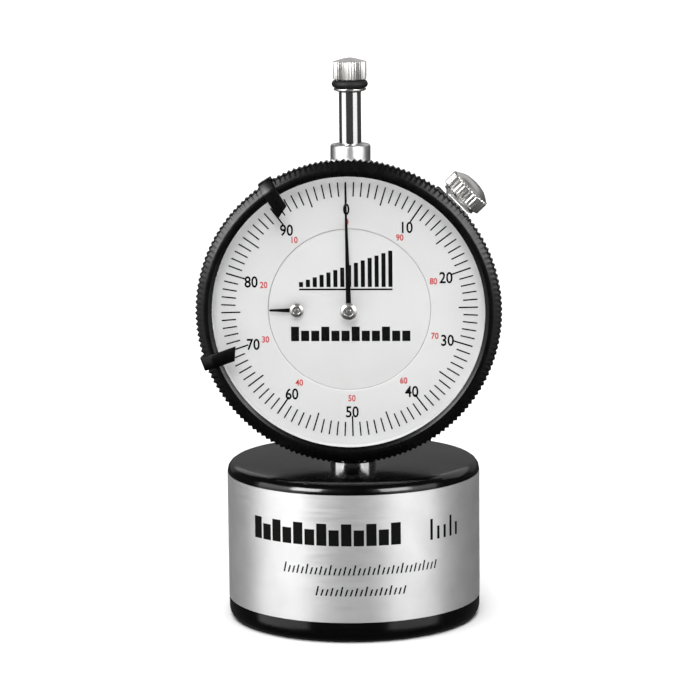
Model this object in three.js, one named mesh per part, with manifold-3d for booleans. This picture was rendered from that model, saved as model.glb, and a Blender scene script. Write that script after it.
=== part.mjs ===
// Drum tension gauge: a dial indicator on a stem that stands in a heavy round base.
// Millimetres, +Z up, dial facing -Y. Origin: centre of the base's underside, on the stem's axis.
import * as THREE from "three";
import { mergeVertices } from "three/addons/utils/BufferGeometryUtils.js";
import { ConvexGeometry } from "three/addons/geometries/ConvexGeometry.js";
import Module from "manifold-3d";

const wasm = await Module();
wasm.setup();

// ---------------------------------------------------------------- driving dimensions

// Clearances
const GLUE_GAP = 0.05; // fixed pieces that bear on each other
const SCREW_GAP = 0.12; // round a screw or pin in its hole
const RUNNING_GAP = 0.07; // round a shaft that turns or slides
const MOVING_GAP = 0.3; // between pieces that pass each other

// Base
const BASE_RADIUS = 25.4;
const BASE_HEIGHT = 31.75;
const BASE_EDGE_ROUND = 1.9;
const LABEL_MARGIN = 4.15; // bare base below the label
const LABEL_HEIGHT = 25.4;
const LABEL_THICKNESS = 0.25;
const LABEL_PROUD = 0.05;
const LABEL_GAP_WIDTH = 8;
const FOOT_BORE_RADIUS = 6.35;
const FOOT_BORE_DEPTH = 9;
const SET_SCREW_RADIUS = 2;
const SET_SCREW_DROP = 10; // below the base's top

// Stem, collar and spindle
const STEM_RADIUS = 4.7625;
const STEM_WALL = 1.7;
const COLLAR_RADIUS = 4;
const COLLAR_RISE = 1.75; // above the bezel
const BUSHING_LENGTH = 8;
const SPINDLE_RADIUS = 2.2;
const FOOT_RADIUS = 5;
const FOOT_HEIGHT = 3;
const CAP_RADIUS = 3.32;
const CAP_KNURL_HEIGHT = 3.5;
const CAP_CONE_HEIGHT = 0.8;
const CAP_LIFT = 10.3; // cap above the collar with the foot flush
const O_RING_WIRE = 0.84;
const O_RING_RADIUS = 3.6;

// Case and bezel
const BEZEL_RADIUS = 30.15;
const BEZEL_TO_BASE = 1.73;
const RIM_WIDTH = 3.35; // bezel edge to opening
const RIM_HEIGHT = 4.5; // bezel front in front of the dial
const BAND_WIDTH = 2.8;
const BAND_STEP = 0.95; // grip band above the skirt
const SKIRT_WALL = 1.4;
const CASE_WALL = 2.1;
const CASE_BACK_DEPTH = 8;
const COVER_THICKNESS = 2;
const CRYSTAL_THICKNESS = 0.9;
const DIAL_THICKNESS = 0.6;
const CENTRE_DIAL_RADIUS = 16;
const CENTRE_DIAL_RECESS = 0.4;
const READING_TURN = 1.1; // degrees anticlockwise at which the zero stands

// Movement
const TRAVEL_PER_TURN = 2.54;
const TRAVEL_DOWN = 5.08;
const TRAVEL_UP = 1.27;
const PINION_TEETH = 10;
const DRIVE_TEETH = 100;
const TRANSFER_TEETH = 60;
const RACK_PINION_TEETH = 20;
const RACK_DEPTH = 0.45; // rack's pitch line inside the spindle's surface
const MOVEMENT_MARGIN = 4.2; // largest gear to the case's wall
const PLATE_THICKNESS = 0.7;
const GEAR_THICKNESS = 0.6;
const REV_OFFSET = 10.35; // small hand's axis, left of the dial's centre
const WEB_CLEARANCE = 3.65; // opening of the case's web past the small hand's axis
const PLATE_MARGIN = 4.8; // plates to the case's wall
const UPPER_PILLAR_INSET = 5.6; // pillars' axes inside the plates' edge
const LOWER_PILLAR_INSET = 2;
const HAND_DROP = 1; // back of the long hand behind the crystal
const HAND_THICKNESS = 0.15;

// Limit clips
const CLIP_WIDTH = 2.7;
const CLIP_THICKNESS = 0.45;
const CLIP_REACH = 7.1; // tip, inwards from the bezel's edge
const CLIP_BEVEL = 1.15;
const UPPER_CLIP_ANGLE = 32.2; // degrees anticlockwise from the top
const LOWER_CLIP_ANGLE = 109.6;

// Bezel clamp
const CLAMP_ANGLE = 44; // degrees anticlockwise from +X
const CLAMP_DEPTH = 0.5; // in front of the stem's axis
const KNOB_RADIUS = 4.6;
const KNOB_GRIP_LENGTH = 3;
const KNOB_DOME = 1.35;
const KNOB_NECK_RADIUS = 3.8;
const KNOB_NECK_LENGTH = 0.7;
const CLAMP_SCREW_RADIUS = 1.25;

// Facets round a full turn; pieces that nest in each other have the same number
const LARGE = 48;
const SMALL = 24;
const TINY = 12;

// ---------------------------------------------------------------- derived places

const degrees = THREE.MathUtils.degToRad;
const DIAL_HEIGHT = BASE_HEIGHT + BEZEL_TO_BASE + BEZEL_RADIUS;

const openingRadius = BEZEL_RADIUS - RIM_WIDTH;
const skirtRadius = BEZEL_RADIUS - BAND_STEP;
const caseRadius = skirtRadius - SKIRT_WALL - MOVING_GAP;
const caseInner = caseRadius - CASE_WALL;
const seatRadius = openingRadius + 0.9; // crystal and dial ring
const slopeStart = openingRadius + 1.7; // flat front of the bezel ends, slope to the grip band begins

// Depths in front of the stem's axis, built up from the spindle towards the viewer
const bridgeBack = SPINDLE_RADIUS + 0.45;
const bridgeFront = bridgeBack + PLATE_THICKNESS;
const takeUpBack = bridgeFront + 0.5;
const driveBack = takeUpBack + GEAR_THICKNESS + 0.7;
const transferBack = driveBack + GEAR_THICKNESS + 0.6;
const plateBack = transferBack + GEAR_THICKNESS + 0.45;
const webBack = plateBack + PLATE_THICKNESS + GLUE_GAP;
const webFront = webBack + PLATE_THICKNESS;
const centreDialFront = webFront + GLUE_GAP + DIAL_THICKNESS;
const dialFront = centreDialFront + CENTRE_DIAL_RECESS;
const dialBack = dialFront - DIAL_THICKNESS;
const rimFront = dialFront + RIM_HEIGHT;
const lipBack = rimFront - 0.65;
const crystalFront = lipBack - GLUE_GAP;
const crystalBack = crystalFront - CRYSTAL_THICKNESS;
const bandFront = rimFront - 0.7;
const bandBack = bandFront - BAND_WIDTH;
const snapFront = dialBack - GLUE_GAP;
const snapBack = snapFront - PLATE_THICKNESS;
const skirtBack = snapBack - 2.2;
const wireDepth = skirtBack + 0.9;
const caseFront = snapBack - MOVING_GAP;

// Gear axes, right and up from the dial's centre
const gearModule = (caseInner - MOVEMENT_MARGIN) / (DRIVE_TEETH + PINION_TEETH / 2 + 1);
const centreDistance = gearModule * (DRIVE_TEETH + PINION_TEETH) / 2;
const rackPitch = TRAVEL_PER_TURN * DRIVE_TEETH / PINION_TEETH / RACK_PINION_TEETH;
const rackModule = rackPitch / Math.PI;
const rackPinionRadius = rackModule * RACK_PINION_TEETH / 2;
const rackLine = SPINDLE_RADIUS - RACK_DEPTH;
const rackArborX = -(rackLine + rackPinionRadius);
const rackArbor = new THREE.Vector2(rackArborX, -Math.sqrt(centreDistance ** 2 - rackArborX ** 2));
const revArbor = new THREE.Vector2(-REV_OFFSET, 0);
const takeUpArbor = new THREE.Vector2(centreDistance, 0).rotateAround(new THREE.Vector2(), degrees(-45));
const transferModule = rackArbor.distanceTo(revArbor) / TRANSFER_TEETH;
const plateRadius = caseInner - PLATE_MARGIN;
const webOpening = REV_OFFSET + WEB_CLEARANCE;
const arborRadius = 0.5;
const rackArborRadius = 0.7;

// Heights above the dial's centre
const collarTop = BEZEL_RADIUS + COLLAR_RISE;
const spindleTop = collarTop + CAP_LIFT;
const guidePinRadius = 0.6;
const rackPinionTip = rackPinionRadius + 0.75 * rackModule;
const bracketLow = rackArbor.y + rackPinionTip + 0.8;
const guidePinHeight = bracketLow + 0.8 + TRAVEL_DOWN + guidePinRadius + 0.1;
const bracketHigh = guidePinHeight + guidePinRadius + TRAVEL_UP + 0.9;
const springHigh = caseInner - 0.5;
const springLow = springHigh - 8;

// ---------------------------------------------------------------- solids

// Shares vertices, drops needle faces at a pole and turns every face outwards.
function closed(geometry) {
  geometry.deleteAttribute("normal");
  geometry.deleteAttribute("uv");
  const merged = mergeVertices(geometry, 1e-4);
  const points = merged.getAttribute("position");
  const corners = [0, 1, 2].map(() => new THREE.Vector3());
  const faces = [];
  let volume = 0;
  for (let i = 0; i < merged.index.count; i += 3) {
    const face = [0, 1, 2].map((k) => merged.index.getX(i + k));
    if (new Set(face).size < 3) continue;
    face.forEach((vertex, k) => corners[k].fromBufferAttribute(points, vertex));
    volume += corners[0].dot(corners[1].clone().cross(corners[2]));
    faces.push(face);
  }
  if (volume < 0) faces.forEach((face) => face.reverse());
  merged.setIndex(faces.flat());
  return merged;
}

function toSolid(geometry) {
  const merged = closed(geometry.clone());
  return new wasm.Manifold(new wasm.Mesh({
    numProp: 3,
    vertProperties: new Float32Array(merged.getAttribute("position").array),
    triVerts: new Uint32Array(merged.index.array),
  }));
}

function toGeometry(solid) {
  const mesh = solid.getMesh();
  const geometry = new THREE.BufferGeometry();
  geometry.setAttribute("position", new THREE.BufferAttribute(mesh.vertProperties, 3));
  geometry.setIndex(new THREE.BufferAttribute(mesh.triVerts, 1));
  return geometry;
}

function join(...pieces) {
  return toGeometry(pieces.map(toSolid).reduce((a, b) => a.add(b)));
}

function cut(body, ...tools) {
  return toGeometry(tools.map(toSolid).reduce((a, b) => a.subtract(b), toSolid(body)));
}

// A turned solid about +Z; outline points are [radius, height].
function turned(outline, segments) {
  const points = outline.map(([radius, height]) => new THREE.Vector2(radius, height));
  return closed(new THREE.LatheGeometry(points, segments).rotateX(Math.PI / 2));
}

// A turned ring: its outline closes on itself instead of on the axis.
function turnedRing(outline, segments) {
  return turned([...outline, outline[0]], segments);
}

function ring(inner, outer, low, high, segments) {
  return turnedRing([[inner, low], [outer, low], [outer, high], [inner, high]], segments);
}

function rod(radius, low, high, segments) {
  return turned([[0, low], [radius, low], [radius, high], [0, high]], segments);
}

function block(x, y, z) {
  const box = new THREE.BoxGeometry(x[1] - x[0], y[1] - y[0], z[1] - z[0]);
  return box.translate((x[0] + x[1]) / 2, (y[0] + y[1]) / 2, (z[0] + z[1]) / 2);
}

function plate(shape, low, high) {
  const settings = { depth: high - low, bevelEnabled: false, curveSegments: 8 };
  return closed(new THREE.ExtrudeGeometry(shape, settings).translate(0, 0, low));
}

// A flat plate round the outside of several discs, each { centre, radius }.
function plateAround(discs, low, high) {
  const points = [];
  for (const { centre, radius } of discs) {
    for (let i = 0; i < TINY; i++) {
      const edge = new THREE.Vector2(radius, 0).rotateAround(new THREE.Vector2(), i / TINY * Math.PI * 2);
      for (const depth of [low, high]) {
        points.push(new THREE.Vector3(centre.x + edge.x, centre.y + edge.y, depth));
      }
    }
  }
  return closed(new ConvexGeometry(points));
}

// Turned pieces are made about +Z; these lay them along +Y or +X.
const alongY = (geometry) => geometry.rotateX(-Math.PI / 2);
const alongX = (geometry) => geometry.rotateY(Math.PI / 2);

function arc(centreR, centreZ, radius, from, to, steps) {
  return Array.from({ length: steps + 1 }, (_, i) => {
    const angle = degrees(from + (to - from) * i / steps);
    return [centreR + radius * Math.cos(angle), centreZ + radius * Math.sin(angle)];
  });
}

// Wire of round section along a curve.
function wire(curve, radius, steps) {
  const section = new THREE.Shape().absarc(0, 0, radius, 0, Math.PI * 2);
  const settings = { steps, extrudePath: curve, bevelEnabled: false, curveSegments: 3 };
  return closed(new THREE.ExtrudeGeometry(section, settings));
}

class Helix extends THREE.Curve {
  constructor(radius, low, high, turns) {
    super();
    Object.assign(this, { radius, low, high, turns });
  }

  getPoint(t, target = new THREE.Vector3()) {
    const angle = t * this.turns * Math.PI * 2;
    const height = THREE.MathUtils.lerp(this.low, this.high, t);
    return target.set(this.radius * Math.cos(angle), height, this.radius * Math.sin(angle));
  }
}

// ---------------------------------------------------------------- gears

// Tooth outline as shares of the tooth pitch, kept thin so that meshed teeth have backlash;
// fine teeth come to a point and have one corner at the tip and one at the root.
const FINE_TOOTH = { tip: 0, root: 0.5, rise: 0.5, fall: 0.85 };
const LEAF_TOOTH = { tip: 0.05, root: 0.2, rise: 0.5, fall: 0.85 };
const RACK_TOOTH = { tip: 0.08, root: 0.26, rise: 0.65, fall: 0.95 };

function gear({ teeth, module, tooth, phase, bore, low, high }) {
  const shape = new THREE.Shape();
  const pitch = 2 * Math.PI / teeth;
  const tip = module * (teeth / 2 + tooth.rise);
  const root = module * (teeth / 2 - tooth.fall);
  const outline = [];
  const corners = tooth.tip
    ? [[root, -tooth.root], [tip, -tooth.tip], [tip, tooth.tip], [root, tooth.root]]
    : [[root, -tooth.root], [tip, 0]];
  for (let i = 0; i < teeth; i++) {
    for (const [radius, share] of corners) {
      const angle = phase + (i + share) * pitch;
      outline.push(new THREE.Vector2(radius * Math.cos(angle), radius * Math.sin(angle)));
    }
  }
  shape.setFromPoints(outline);
  if (bore) shape.holes.push(new THREE.Path().absarc(0, 0, bore, 0, Math.PI * 2, true));
  return plate(shape, low, high);
}

// Where a gear's first tooth stands so that it meshes with another gear, in direction from that gear.
function meshedPhase(otherPhase, otherTeeth, teeth, direction) {
  const otherPitch = 2 * Math.PI / otherTeeth;
  const past = THREE.MathUtils.euclideanModulo(direction - otherPhase, otherPitch);
  return direction + Math.PI + past * otherTeeth / teeth - Math.PI / teeth;
}

const driveDirection = rackArbor.angle();
const takeUpDirection = takeUpArbor.angle();
const revDirection = revArbor.clone().sub(rackArbor).angle();
const centrePhase = driveDirection;
const drivePhase = meshedPhase(centrePhase, PINION_TEETH, DRIVE_TEETH, driveDirection);
const takeUpPhase = meshedPhase(centrePhase, PINION_TEETH, DRIVE_TEETH, takeUpDirection);
const revPhase = meshedPhase(0, TRANSFER_TEETH, TRANSFER_TEETH, revDirection);

// ---------------------------------------------------------------- materials

const finish = (color, metalness, roughness, opacity = 1) =>
  new THREE.MeshStandardMaterial({ color, metalness, roughness, opacity, transparent: opacity < 1 });
const BLACK_ENAMEL = () => finish(0x111112, 0.1, 0.3);
const BRUSHED_SILVER = () => finish(0xb9b9b9, 0.9, 0.35);
const CHROME = () => finish(0xd5d7d9, 1, 0.12);
const SATIN_STEEL = () => finish(0xa9abad, 0.9, 0.4);
const BLACK_RUBBER = () => finish(0x101010, 0, 0.7);
const BLACK_SPRING = () => finish(0x141414, 0.5, 0.4);
const DIAL_WHITE = () => finish(0xe4e4e4, 0, 0.6);
const CLEAR_ACRYLIC = () => finish(0xf4f8fa, 0, 0.05, 0.3);
const HAND_BLACK = () => finish(0x0b0b0b, 0.1, 0.4);
const BRASS = () => finish(0xb89a55, 0.9, 0.35);

function part(name, geometry, material, x = 0, y = 0) {
  const mesh = new THREE.Mesh(geometry, material);
  mesh.name = name;
  mesh.position.set(x, y, 0);
  return mesh;
}

// ---------------------------------------------------------------- base (frame: origin, +Z up)

const labelRadius = BASE_RADIUS + LABEL_PROUD;
const labelInner = labelRadius - LABEL_THICKNESS;
const grooveRadius = labelInner - GLUE_GAP;
const labelTop = LABEL_MARGIN + LABEL_HEIGHT;
const stemLow = FOOT_BORE_DEPTH + 1;
const setScrewHeight = BASE_HEIGHT - SET_SCREW_DROP;

function baseWeight() {
  const round = BASE_EDGE_ROUND;
  const stemBore = STEM_RADIUS + GLUE_GAP;
  const body = turnedRing([
    [FOOT_BORE_RADIUS, 0],
    ...arc(BASE_RADIUS - round, round, round, -90, 0, 3),
    [BASE_RADIUS, LABEL_MARGIN - GLUE_GAP],
    [grooveRadius, LABEL_MARGIN - GLUE_GAP],
    [grooveRadius, labelTop + GLUE_GAP],
    [BASE_RADIUS, labelTop + GLUE_GAP],
    ...arc(BASE_RADIUS - round, BASE_HEIGHT - round, round, 0, 90, 3),
    [stemBore + 0.4, BASE_HEIGHT],
    [stemBore, BASE_HEIGHT - 0.4],
    [stemBore, FOOT_BORE_DEPTH],
    [FOOT_BORE_RADIUS, FOOT_BORE_DEPTH],
  ], LARGE);
  const screwHole = rod(SET_SCREW_RADIUS + SCREW_GAP, STEM_RADIUS, BASE_RADIUS + 1, TINY);
  return cut(body, alongY(screwHole).translate(0, 0, setScrewHeight));
}

function baseLabel() {
  const wrap = ring(labelInner, labelRadius, LABEL_MARGIN, labelTop, LARGE);
  const halfGap = LABEL_GAP_WIDTH / 2;
  return cut(wrap, block([-halfGap, halfGap], [0, BASE_RADIUS + 2], [0, BASE_HEIGHT]));
}

// Cup-point screw with a hexagon socket in its outer end.
function setScrew() {
  const tip = STEM_RADIUS + SCREW_GAP;
  const head = BASE_RADIUS - 1.2;
  const body = turned([
    [0, tip], [SET_SCREW_RADIUS - 0.7, tip], [SET_SCREW_RADIUS, tip + 0.7],
    [SET_SCREW_RADIUS, head], [0, head],
  ], TINY);
  return alongY(cut(body, rod(SET_SCREW_RADIUS * 0.55, head - 2, head + 1, 6)));
}

const base = new THREE.Group();
const screw = part("stem_set_screw", setScrew(), SATIN_STEEL());
screw.position.z = setScrewHeight;
base.add(
  part("base_weight", baseWeight(), BLACK_ENAMEL()),
  part("base_label", baseLabel(), BRUSHED_SILVER()),
  screw,
);

// ------------------------------------------- gauge (frame: dial centre, +X right, +Y up, +Z to the front)

const gauge = new THREE.Group();
gauge.position.z = DIAL_HEIGHT;
gauge.rotation.x = Math.PI / 2;

// ---- stem, collar and their bushings
const stemInner = STEM_RADIUS - STEM_WALL;
const stemTop = 0.5 - caseInner;
const bushingBore = SPINDLE_RADIUS + RUNNING_GAP;
const collarLow = caseInner + 0.1;

function collar() {
  const inner = COLLAR_RADIUS - 0.95;
  return alongY(turnedRing([
    [inner, collarLow], [COLLAR_RADIUS, collarLow],
    ...arc(COLLAR_RADIUS - 0.5, collarTop - 0.5, 0.5, 0, 90, 3),
    [inner, collarTop],
  ], SMALL));
}

gauge.add(
  part("stem", alongY(ring(stemInner, STEM_RADIUS, stemLow - DIAL_HEIGHT, stemTop, SMALL)), CHROME()),
  part("lower_bushing", alongY(ring(
    bushingBore, stemInner - GLUE_GAP, stemTop - BUSHING_LENGTH, stemTop, SMALL)), BRASS()),
  part("upper_collar", collar(), SATIN_STEEL()),
  part("upper_bushing", alongY(ring(
    bushingBore, COLLAR_RADIUS - 1, collarLow - 0.4, collarTop - 0.3, SMALL)), BRASS()),
);

// ---- case with its clamp boss and cover lugs
const BACK_SCREWS = 4;
const backScrewRadius = 1.2;
const backScrewCircle = caseInner - 2.4;
const backScrewPlaces = Array.from({ length: BACK_SCREWS }, (_, i) =>
  new THREE.Vector2(backScrewCircle, 0).rotateAround(new THREE.Vector2(), degrees(45 + i * 90)));
const bossTop = caseRadius + 1;

function caseBody() {
  const grooveFloor = caseRadius - 0.5;
  const shell = turnedRing([
    [caseInner, -CASE_BACK_DEPTH], [caseRadius, -CASE_BACK_DEPTH],
    [caseRadius, wireDepth - 0.5], [grooveFloor, wireDepth - 0.5],
    [grooveFloor, wireDepth + 0.5], [caseRadius, wireDepth + 0.5],
    [caseRadius, caseFront], [caseInner + 0.4, caseFront],
    [caseInner + 0.4, webFront], [webOpening, webFront], [webOpening, webBack], [caseInner, webBack],
  ], LARGE);
  const boss = block([caseInner + 1, bossTop], [-4.6, 4.6], [CLAMP_DEPTH - 4.4, CLAMP_DEPTH + 4.4])
    .rotateZ(degrees(CLAMP_ANGLE));
  const lugs = backScrewPlaces.map(({ x, y }) =>
    rod(2.6, -CASE_BACK_DEPTH, 4 - CASE_BACK_DEPTH, TINY).translate(x, y, 0));
  const clampHole = alongX(rod(CLAMP_SCREW_RADIUS + MOVING_GAP, caseInner - 2, bossTop + 2, TINY))
    .translate(0, 0, CLAMP_DEPTH).rotateZ(degrees(CLAMP_ANGLE));
  const screwHoles = backScrewPlaces.map(({ x, y }) =>
    rod(backScrewRadius + SCREW_GAP, -CASE_BACK_DEPTH - 1, 3.4 - CASE_BACK_DEPTH, TINY).translate(x, y, 0));
  return cut(
    join(shell, boss, ...lugs),
    alongY(rod(STEM_RADIUS + GLUE_GAP, -caseRadius - 2, -caseInner + 2, SMALL)),
    alongY(rod(COLLAR_RADIUS + GLUE_GAP, caseInner - 2, caseRadius + 2, SMALL)),
    clampHole,
    ...screwHoles,
  );
}

function backCover() {
  const back = -CASE_BACK_DEPTH - COVER_THICKNESS;
  const front = -CASE_BACK_DEPTH - GLUE_GAP;
  const edge = caseRadius - 0.2;
  const disc = turned([[0, back], [edge - 0.8, back], [edge, back + 0.8], [edge, front], [0, front]], LARGE);
  const holes = backScrewPlaces.map(({ x, y }) =>
    rod(backScrewRadius + SCREW_GAP, back - 1, front + 1, TINY).translate(x, y, 0));
  return cut(disc, ...holes);
}

function slottedScrew(radius, headRadius, headHeight, length) {
  const body = turned([
    [0, -headHeight], [headRadius - 0.3, -headHeight], [headRadius, 0.3 - headHeight],
    [headRadius, 0], [radius, 0], [radius, length], [0, length],
  ], TINY);
  const slot = block([-headRadius, headRadius], [-0.25, 0.25], [-headHeight - 1, headHeight / -2]);
  return cut(body, slot);
}

gauge.add(
  part("case_body", caseBody(), BLACK_ENAMEL()),
  part("back_cover", backCover(), BLACK_ENAMEL()),
);
backScrewPlaces.forEach(({ x, y }, i) => {
  const geometry = slottedScrew(backScrewRadius, 2.1, 1, 4).translate(
    0, 0, -CASE_BACK_DEPTH - COVER_THICKNESS - GLUE_GAP);
  gauge.add(part(`back_screw_${i + 1}`, geometry, SATIN_STEEL(), x, y));
});

// ---- bezel with what turns in it
function bezelShell() {
  const snapGroove = seatRadius + 0.6;
  const skirtInner = skirtRadius - SKIRT_WALL;
  const wireGroove = skirtInner + 0.45;
  return turnedRing([
    [skirtInner, skirtBack], [skirtRadius, skirtBack], [skirtRadius, bandBack],
    [BEZEL_RADIUS - 0.2, bandBack], [BEZEL_RADIUS, bandBack + 0.2],
    [BEZEL_RADIUS, bandFront - 0.15], [BEZEL_RADIUS - 0.15, bandFront],
    [slopeStart, rimFront - 0.05], [openingRadius + 0.7, rimFront],
    [openingRadius, rimFront - 0.5], [openingRadius, lipBack],
    [seatRadius + GLUE_GAP, lipBack], [seatRadius + GLUE_GAP, dialBack],
    [snapGroove, dialBack], [snapGroove, snapBack - GLUE_GAP], [skirtInner, snapBack - GLUE_GAP],
    [skirtInner, wireDepth + 0.5], [wireGroove, wireDepth + 0.5],
    [wireGroove, wireDepth - 0.5], [skirtInner, wireDepth - 0.5],
  ], LARGE);
}

// Open ring of spring wire that keeps the bezel on the case.
function bezelWireRing() {
  const radius = caseRadius + MOVING_GAP / 2;
  const open = 12;
  const curve = new THREE.Curve();
  curve.getPoint = (t, target = new THREE.Vector3()) => {
    const angle = degrees(-90 + open / 2 + (360 - open) * t);
    return target.set(radius * Math.cos(angle), radius * Math.sin(angle), wireDepth);
  };
  return wire(curve, 0.28, LARGE);
}

const bezel = new THREE.Group();
bezel.add(
  part("bezel", bezelShell(), BLACK_ENAMEL()),
  part("crystal", rod(seatRadius, crystalBack, crystalFront, LARGE), CLEAR_ACRYLIC()),
  part("crystal_gasket", ring(
    openingRadius + 0.1, seatRadius, dialFront + GLUE_GAP, crystalBack - GLUE_GAP, LARGE), DIAL_WHITE()),
  part("dial_ring", ring(CENTRE_DIAL_RADIUS + 0.12, seatRadius, dialBack, dialFront, LARGE), DIAL_WHITE()),
  part("dial_snap_ring", ring(seatRadius - 1.4, seatRadius + 0.5, snapBack, snapFront, LARGE), SATIN_STEEL()),
);
gauge.add(bezel, part("bezel_wire_ring", bezelWireRing(), SATIN_STEEL()));

// ---- limit clips: bent strip round the bezel's edge, with a pointed end over the crystal
function limitClip(pointedSide) {
  const gap = 0.08;
  const outer = BEZEL_RADIUS + gap;
  const front = rimFront + gap;
  const tip = BEZEL_RADIUS - CLIP_REACH;
  const under = bandBack - gap;
  const hook = skirtRadius + 0.25;
  const outline = [
    [hook, under - CLIP_THICKNESS], [outer + CLIP_THICKNESS, under - CLIP_THICKNESS],
    [outer + CLIP_THICKNESS, bandFront], [slopeStart, front + CLIP_THICKNESS],
    [tip, front + CLIP_THICKNESS], [tip, front], [slopeStart, front], [outer, bandFront],
    [outer, under], [hook, under],
  ].map(([radius, depth]) => new THREE.Vector2(radius, depth));
  const halfWidth = CLIP_WIDTH / 2;
  const strip = plate(new THREE.Shape(outline), -halfWidth, halfWidth).rotateX(Math.PI / 2);
  const corner = new THREE.Shape([
    new THREE.Vector2(tip - 1, pointedSide * halfWidth),
    new THREE.Vector2(tip, pointedSide * halfWidth),
    new THREE.Vector2(tip + CLIP_BEVEL, -pointedSide * halfWidth),
    new THREE.Vector2(tip + CLIP_BEVEL, -pointedSide * (halfWidth + 1)),
    new THREE.Vector2(tip - 1, -pointedSide * (halfWidth + 1)),
  ]);
  return cut(strip, plate(corner, front - 1, front + 2));
}

const upperClip = part("limit_clip_upper", limitClip(1), BLACK_SPRING());
upperClip.rotation.z = degrees(90 + UPPER_CLIP_ANGLE);
const lowerClip = part("limit_clip_lower", limitClip(-1), BLACK_SPRING());
lowerClip.rotation.z = degrees(90 + LOWER_CLIP_ANGLE);
bezel.add(upperClip, lowerClip);

// ---- bezel clamp (frame: +X outwards along the screw)
const clamp = new THREE.Group();
clamp.rotation.z = degrees(CLAMP_ANGLE);
gauge.add(clamp);
const shoeLow = bossTop + 0.1;
const shoeHigh = shoeLow + 1;

function clampShoe() {
  const toeLow = skirtRadius + 0.1;
  const toeBack = skirtBack - MOVING_GAP;
  const washer = block([shoeLow, shoeHigh], [-2.8, 2.8], [CLAMP_DEPTH - 3.8, toeBack]);
  const toe = block([toeLow, toeLow + 0.8], [-2.8, 2.8], [toeBack - 1, bandBack - 1.6]);
  const hole = alongX(rod(CLAMP_SCREW_RADIUS + SCREW_GAP, shoeLow - 1, shoeHigh + 1, TINY));
  return cut(join(washer, toe), hole.translate(0, 0, CLAMP_DEPTH));
}

function clampKnob() {
  const neck = shoeHigh + GLUE_GAP;
  const grip = neck + KNOB_NECK_LENGTH;
  const end = grip + KNOB_GRIP_LENGTH;
  const domeRadius = (KNOB_RADIUS ** 2 + KNOB_DOME ** 2) / (2 * KNOB_DOME);
  const half = THREE.MathUtils.radToDeg(Math.asin(KNOB_RADIUS / domeRadius));
  const dome = arc(0, end + KNOB_DOME - domeRadius, domeRadius, 90 - half, 90, 4).slice(0, -1);
  return alongX(turned([
    [0, caseInner - 0.8], [CLAMP_SCREW_RADIUS, caseInner - 0.8], [CLAMP_SCREW_RADIUS, neck],
    [KNOB_NECK_RADIUS, neck], [KNOB_NECK_RADIUS, grip], [KNOB_RADIUS, grip + 0.3],
    ...dome, [0, end + KNOB_DOME],
  ], SMALL)).translate(0, 0, CLAMP_DEPTH);
}

clamp.add(
  part("clamp_shoe", clampShoe(), SATIN_STEEL()),
  part("clamp_knob", clampKnob(), CHROME()),
);

// ---- centre of the dial and the movement's plates
function pinHole(place, radius) {
  return rod(radius, -CASE_BACK_DEPTH, rimFront, TINY).translate(place.x, place.y, 0);
}

const dialCentre = new THREE.Vector2();
const arborHole = arborRadius + RUNNING_GAP;
const rackArborHole = rackArborRadius + RUNNING_GAP;
const pillarRadius = 1.1;
const betweenGears = (driveDirection + takeUpDirection) / 2; // room for the lowest pillar
const polar = (radius, angle) => new THREE.Vector2(radius, 0).rotateAround(dialCentre, angle);
const pillarPlaces = [
  polar(plateRadius - UPPER_PILLAR_INSET, degrees(126)),
  polar(plateRadius - UPPER_PILLAR_INSET, degrees(54)),
  polar(plateRadius - LOWER_PILLAR_INSET, betweenGears),
];
const plateScrewPlaces = [30, 150, 300].map((angle) =>
  polar((plateRadius + webOpening) / 2, degrees(angle)));
const plateScrewRadius = 0.6;
const cockLegInner = rackArbor.x - rackPinionTip - 1.6;
const cockFoot = new THREE.Vector2(cockLegInner - 0.75, rackArbor.y);

function frontPlate() {
  return cut(rod(plateRadius, plateBack, plateBack + PLATE_THICKNESS, LARGE),
    pinHole(dialCentre, arborHole),
    pinHole(revArbor, arborHole),
    pinHole(takeUpArbor, arborHole),
    pinHole(rackArbor, rackArborHole),
    ...plateScrewPlaces.map((place) => pinHole(place, plateScrewRadius + SCREW_GAP)));
}

function bridgePlate() {
  const discs = [
    ...pillarPlaces.map((centre) => ({ centre, radius: 1.9 })),
    ...[rackArbor, takeUpArbor, cockFoot].map((centre) => ({ centre, radius: 2.1 })),
  ];
  const springNotch = SPINDLE_RADIUS + 2;
  return cut(plateAround(discs, bridgeBack, bridgeFront),
    pinHole(dialCentre, arborHole),
    pinHole(takeUpArbor, arborHole),
    pinHole(rackArbor, rackArborHole),
    block([-springNotch, springNotch], [springLow - TRAVEL_DOWN - 2, caseInner], [0, rimFront]));
}

// Channel round the spindle; the guide pin slides in its closed slot and stops at the slot's ends.
function guideBracket() {
  const inner = SPINDLE_RADIUS + 0.6;
  const outer = inner + 1.4;
  const floor = -(SPINDLE_RADIUS + 0.8);
  const slotHalf = guidePinRadius + 0.2;
  return cut(
    block([-outer, outer], [bracketLow, bracketHigh], [floor - 1.6, bridgeBack - GLUE_GAP]),
    block([-inner, inner], [bracketLow - 1, bracketHigh + 1], [floor, bridgeBack + 1]),
    block([-slotHalf, slotHalf], [bracketLow + 0.8, bracketHigh - 0.8], [floor - 3, floor + 1]));
}

// Arm behind the rack pinion that carries the back end of its arbor.
const cockFront = -(SPINDLE_RADIUS + 0.6);
const cockBack = cockFront - PLATE_THICKNESS;

function arborCock() {
  const width = 1.8;
  const low = rackArbor.y - width;
  const high = rackArbor.y + width;
  const leg = [cockLegInner - 1.5, cockLegInner];
  return cut(
    join(block([leg[0], rackArbor.x + width], [low, high], [cockBack, cockFront]),
      block(leg, [low, high], [cockFront - 0.2, bridgeBack - GLUE_GAP])),
    pinHole(rackArbor, rackArborHole));
}

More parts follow.
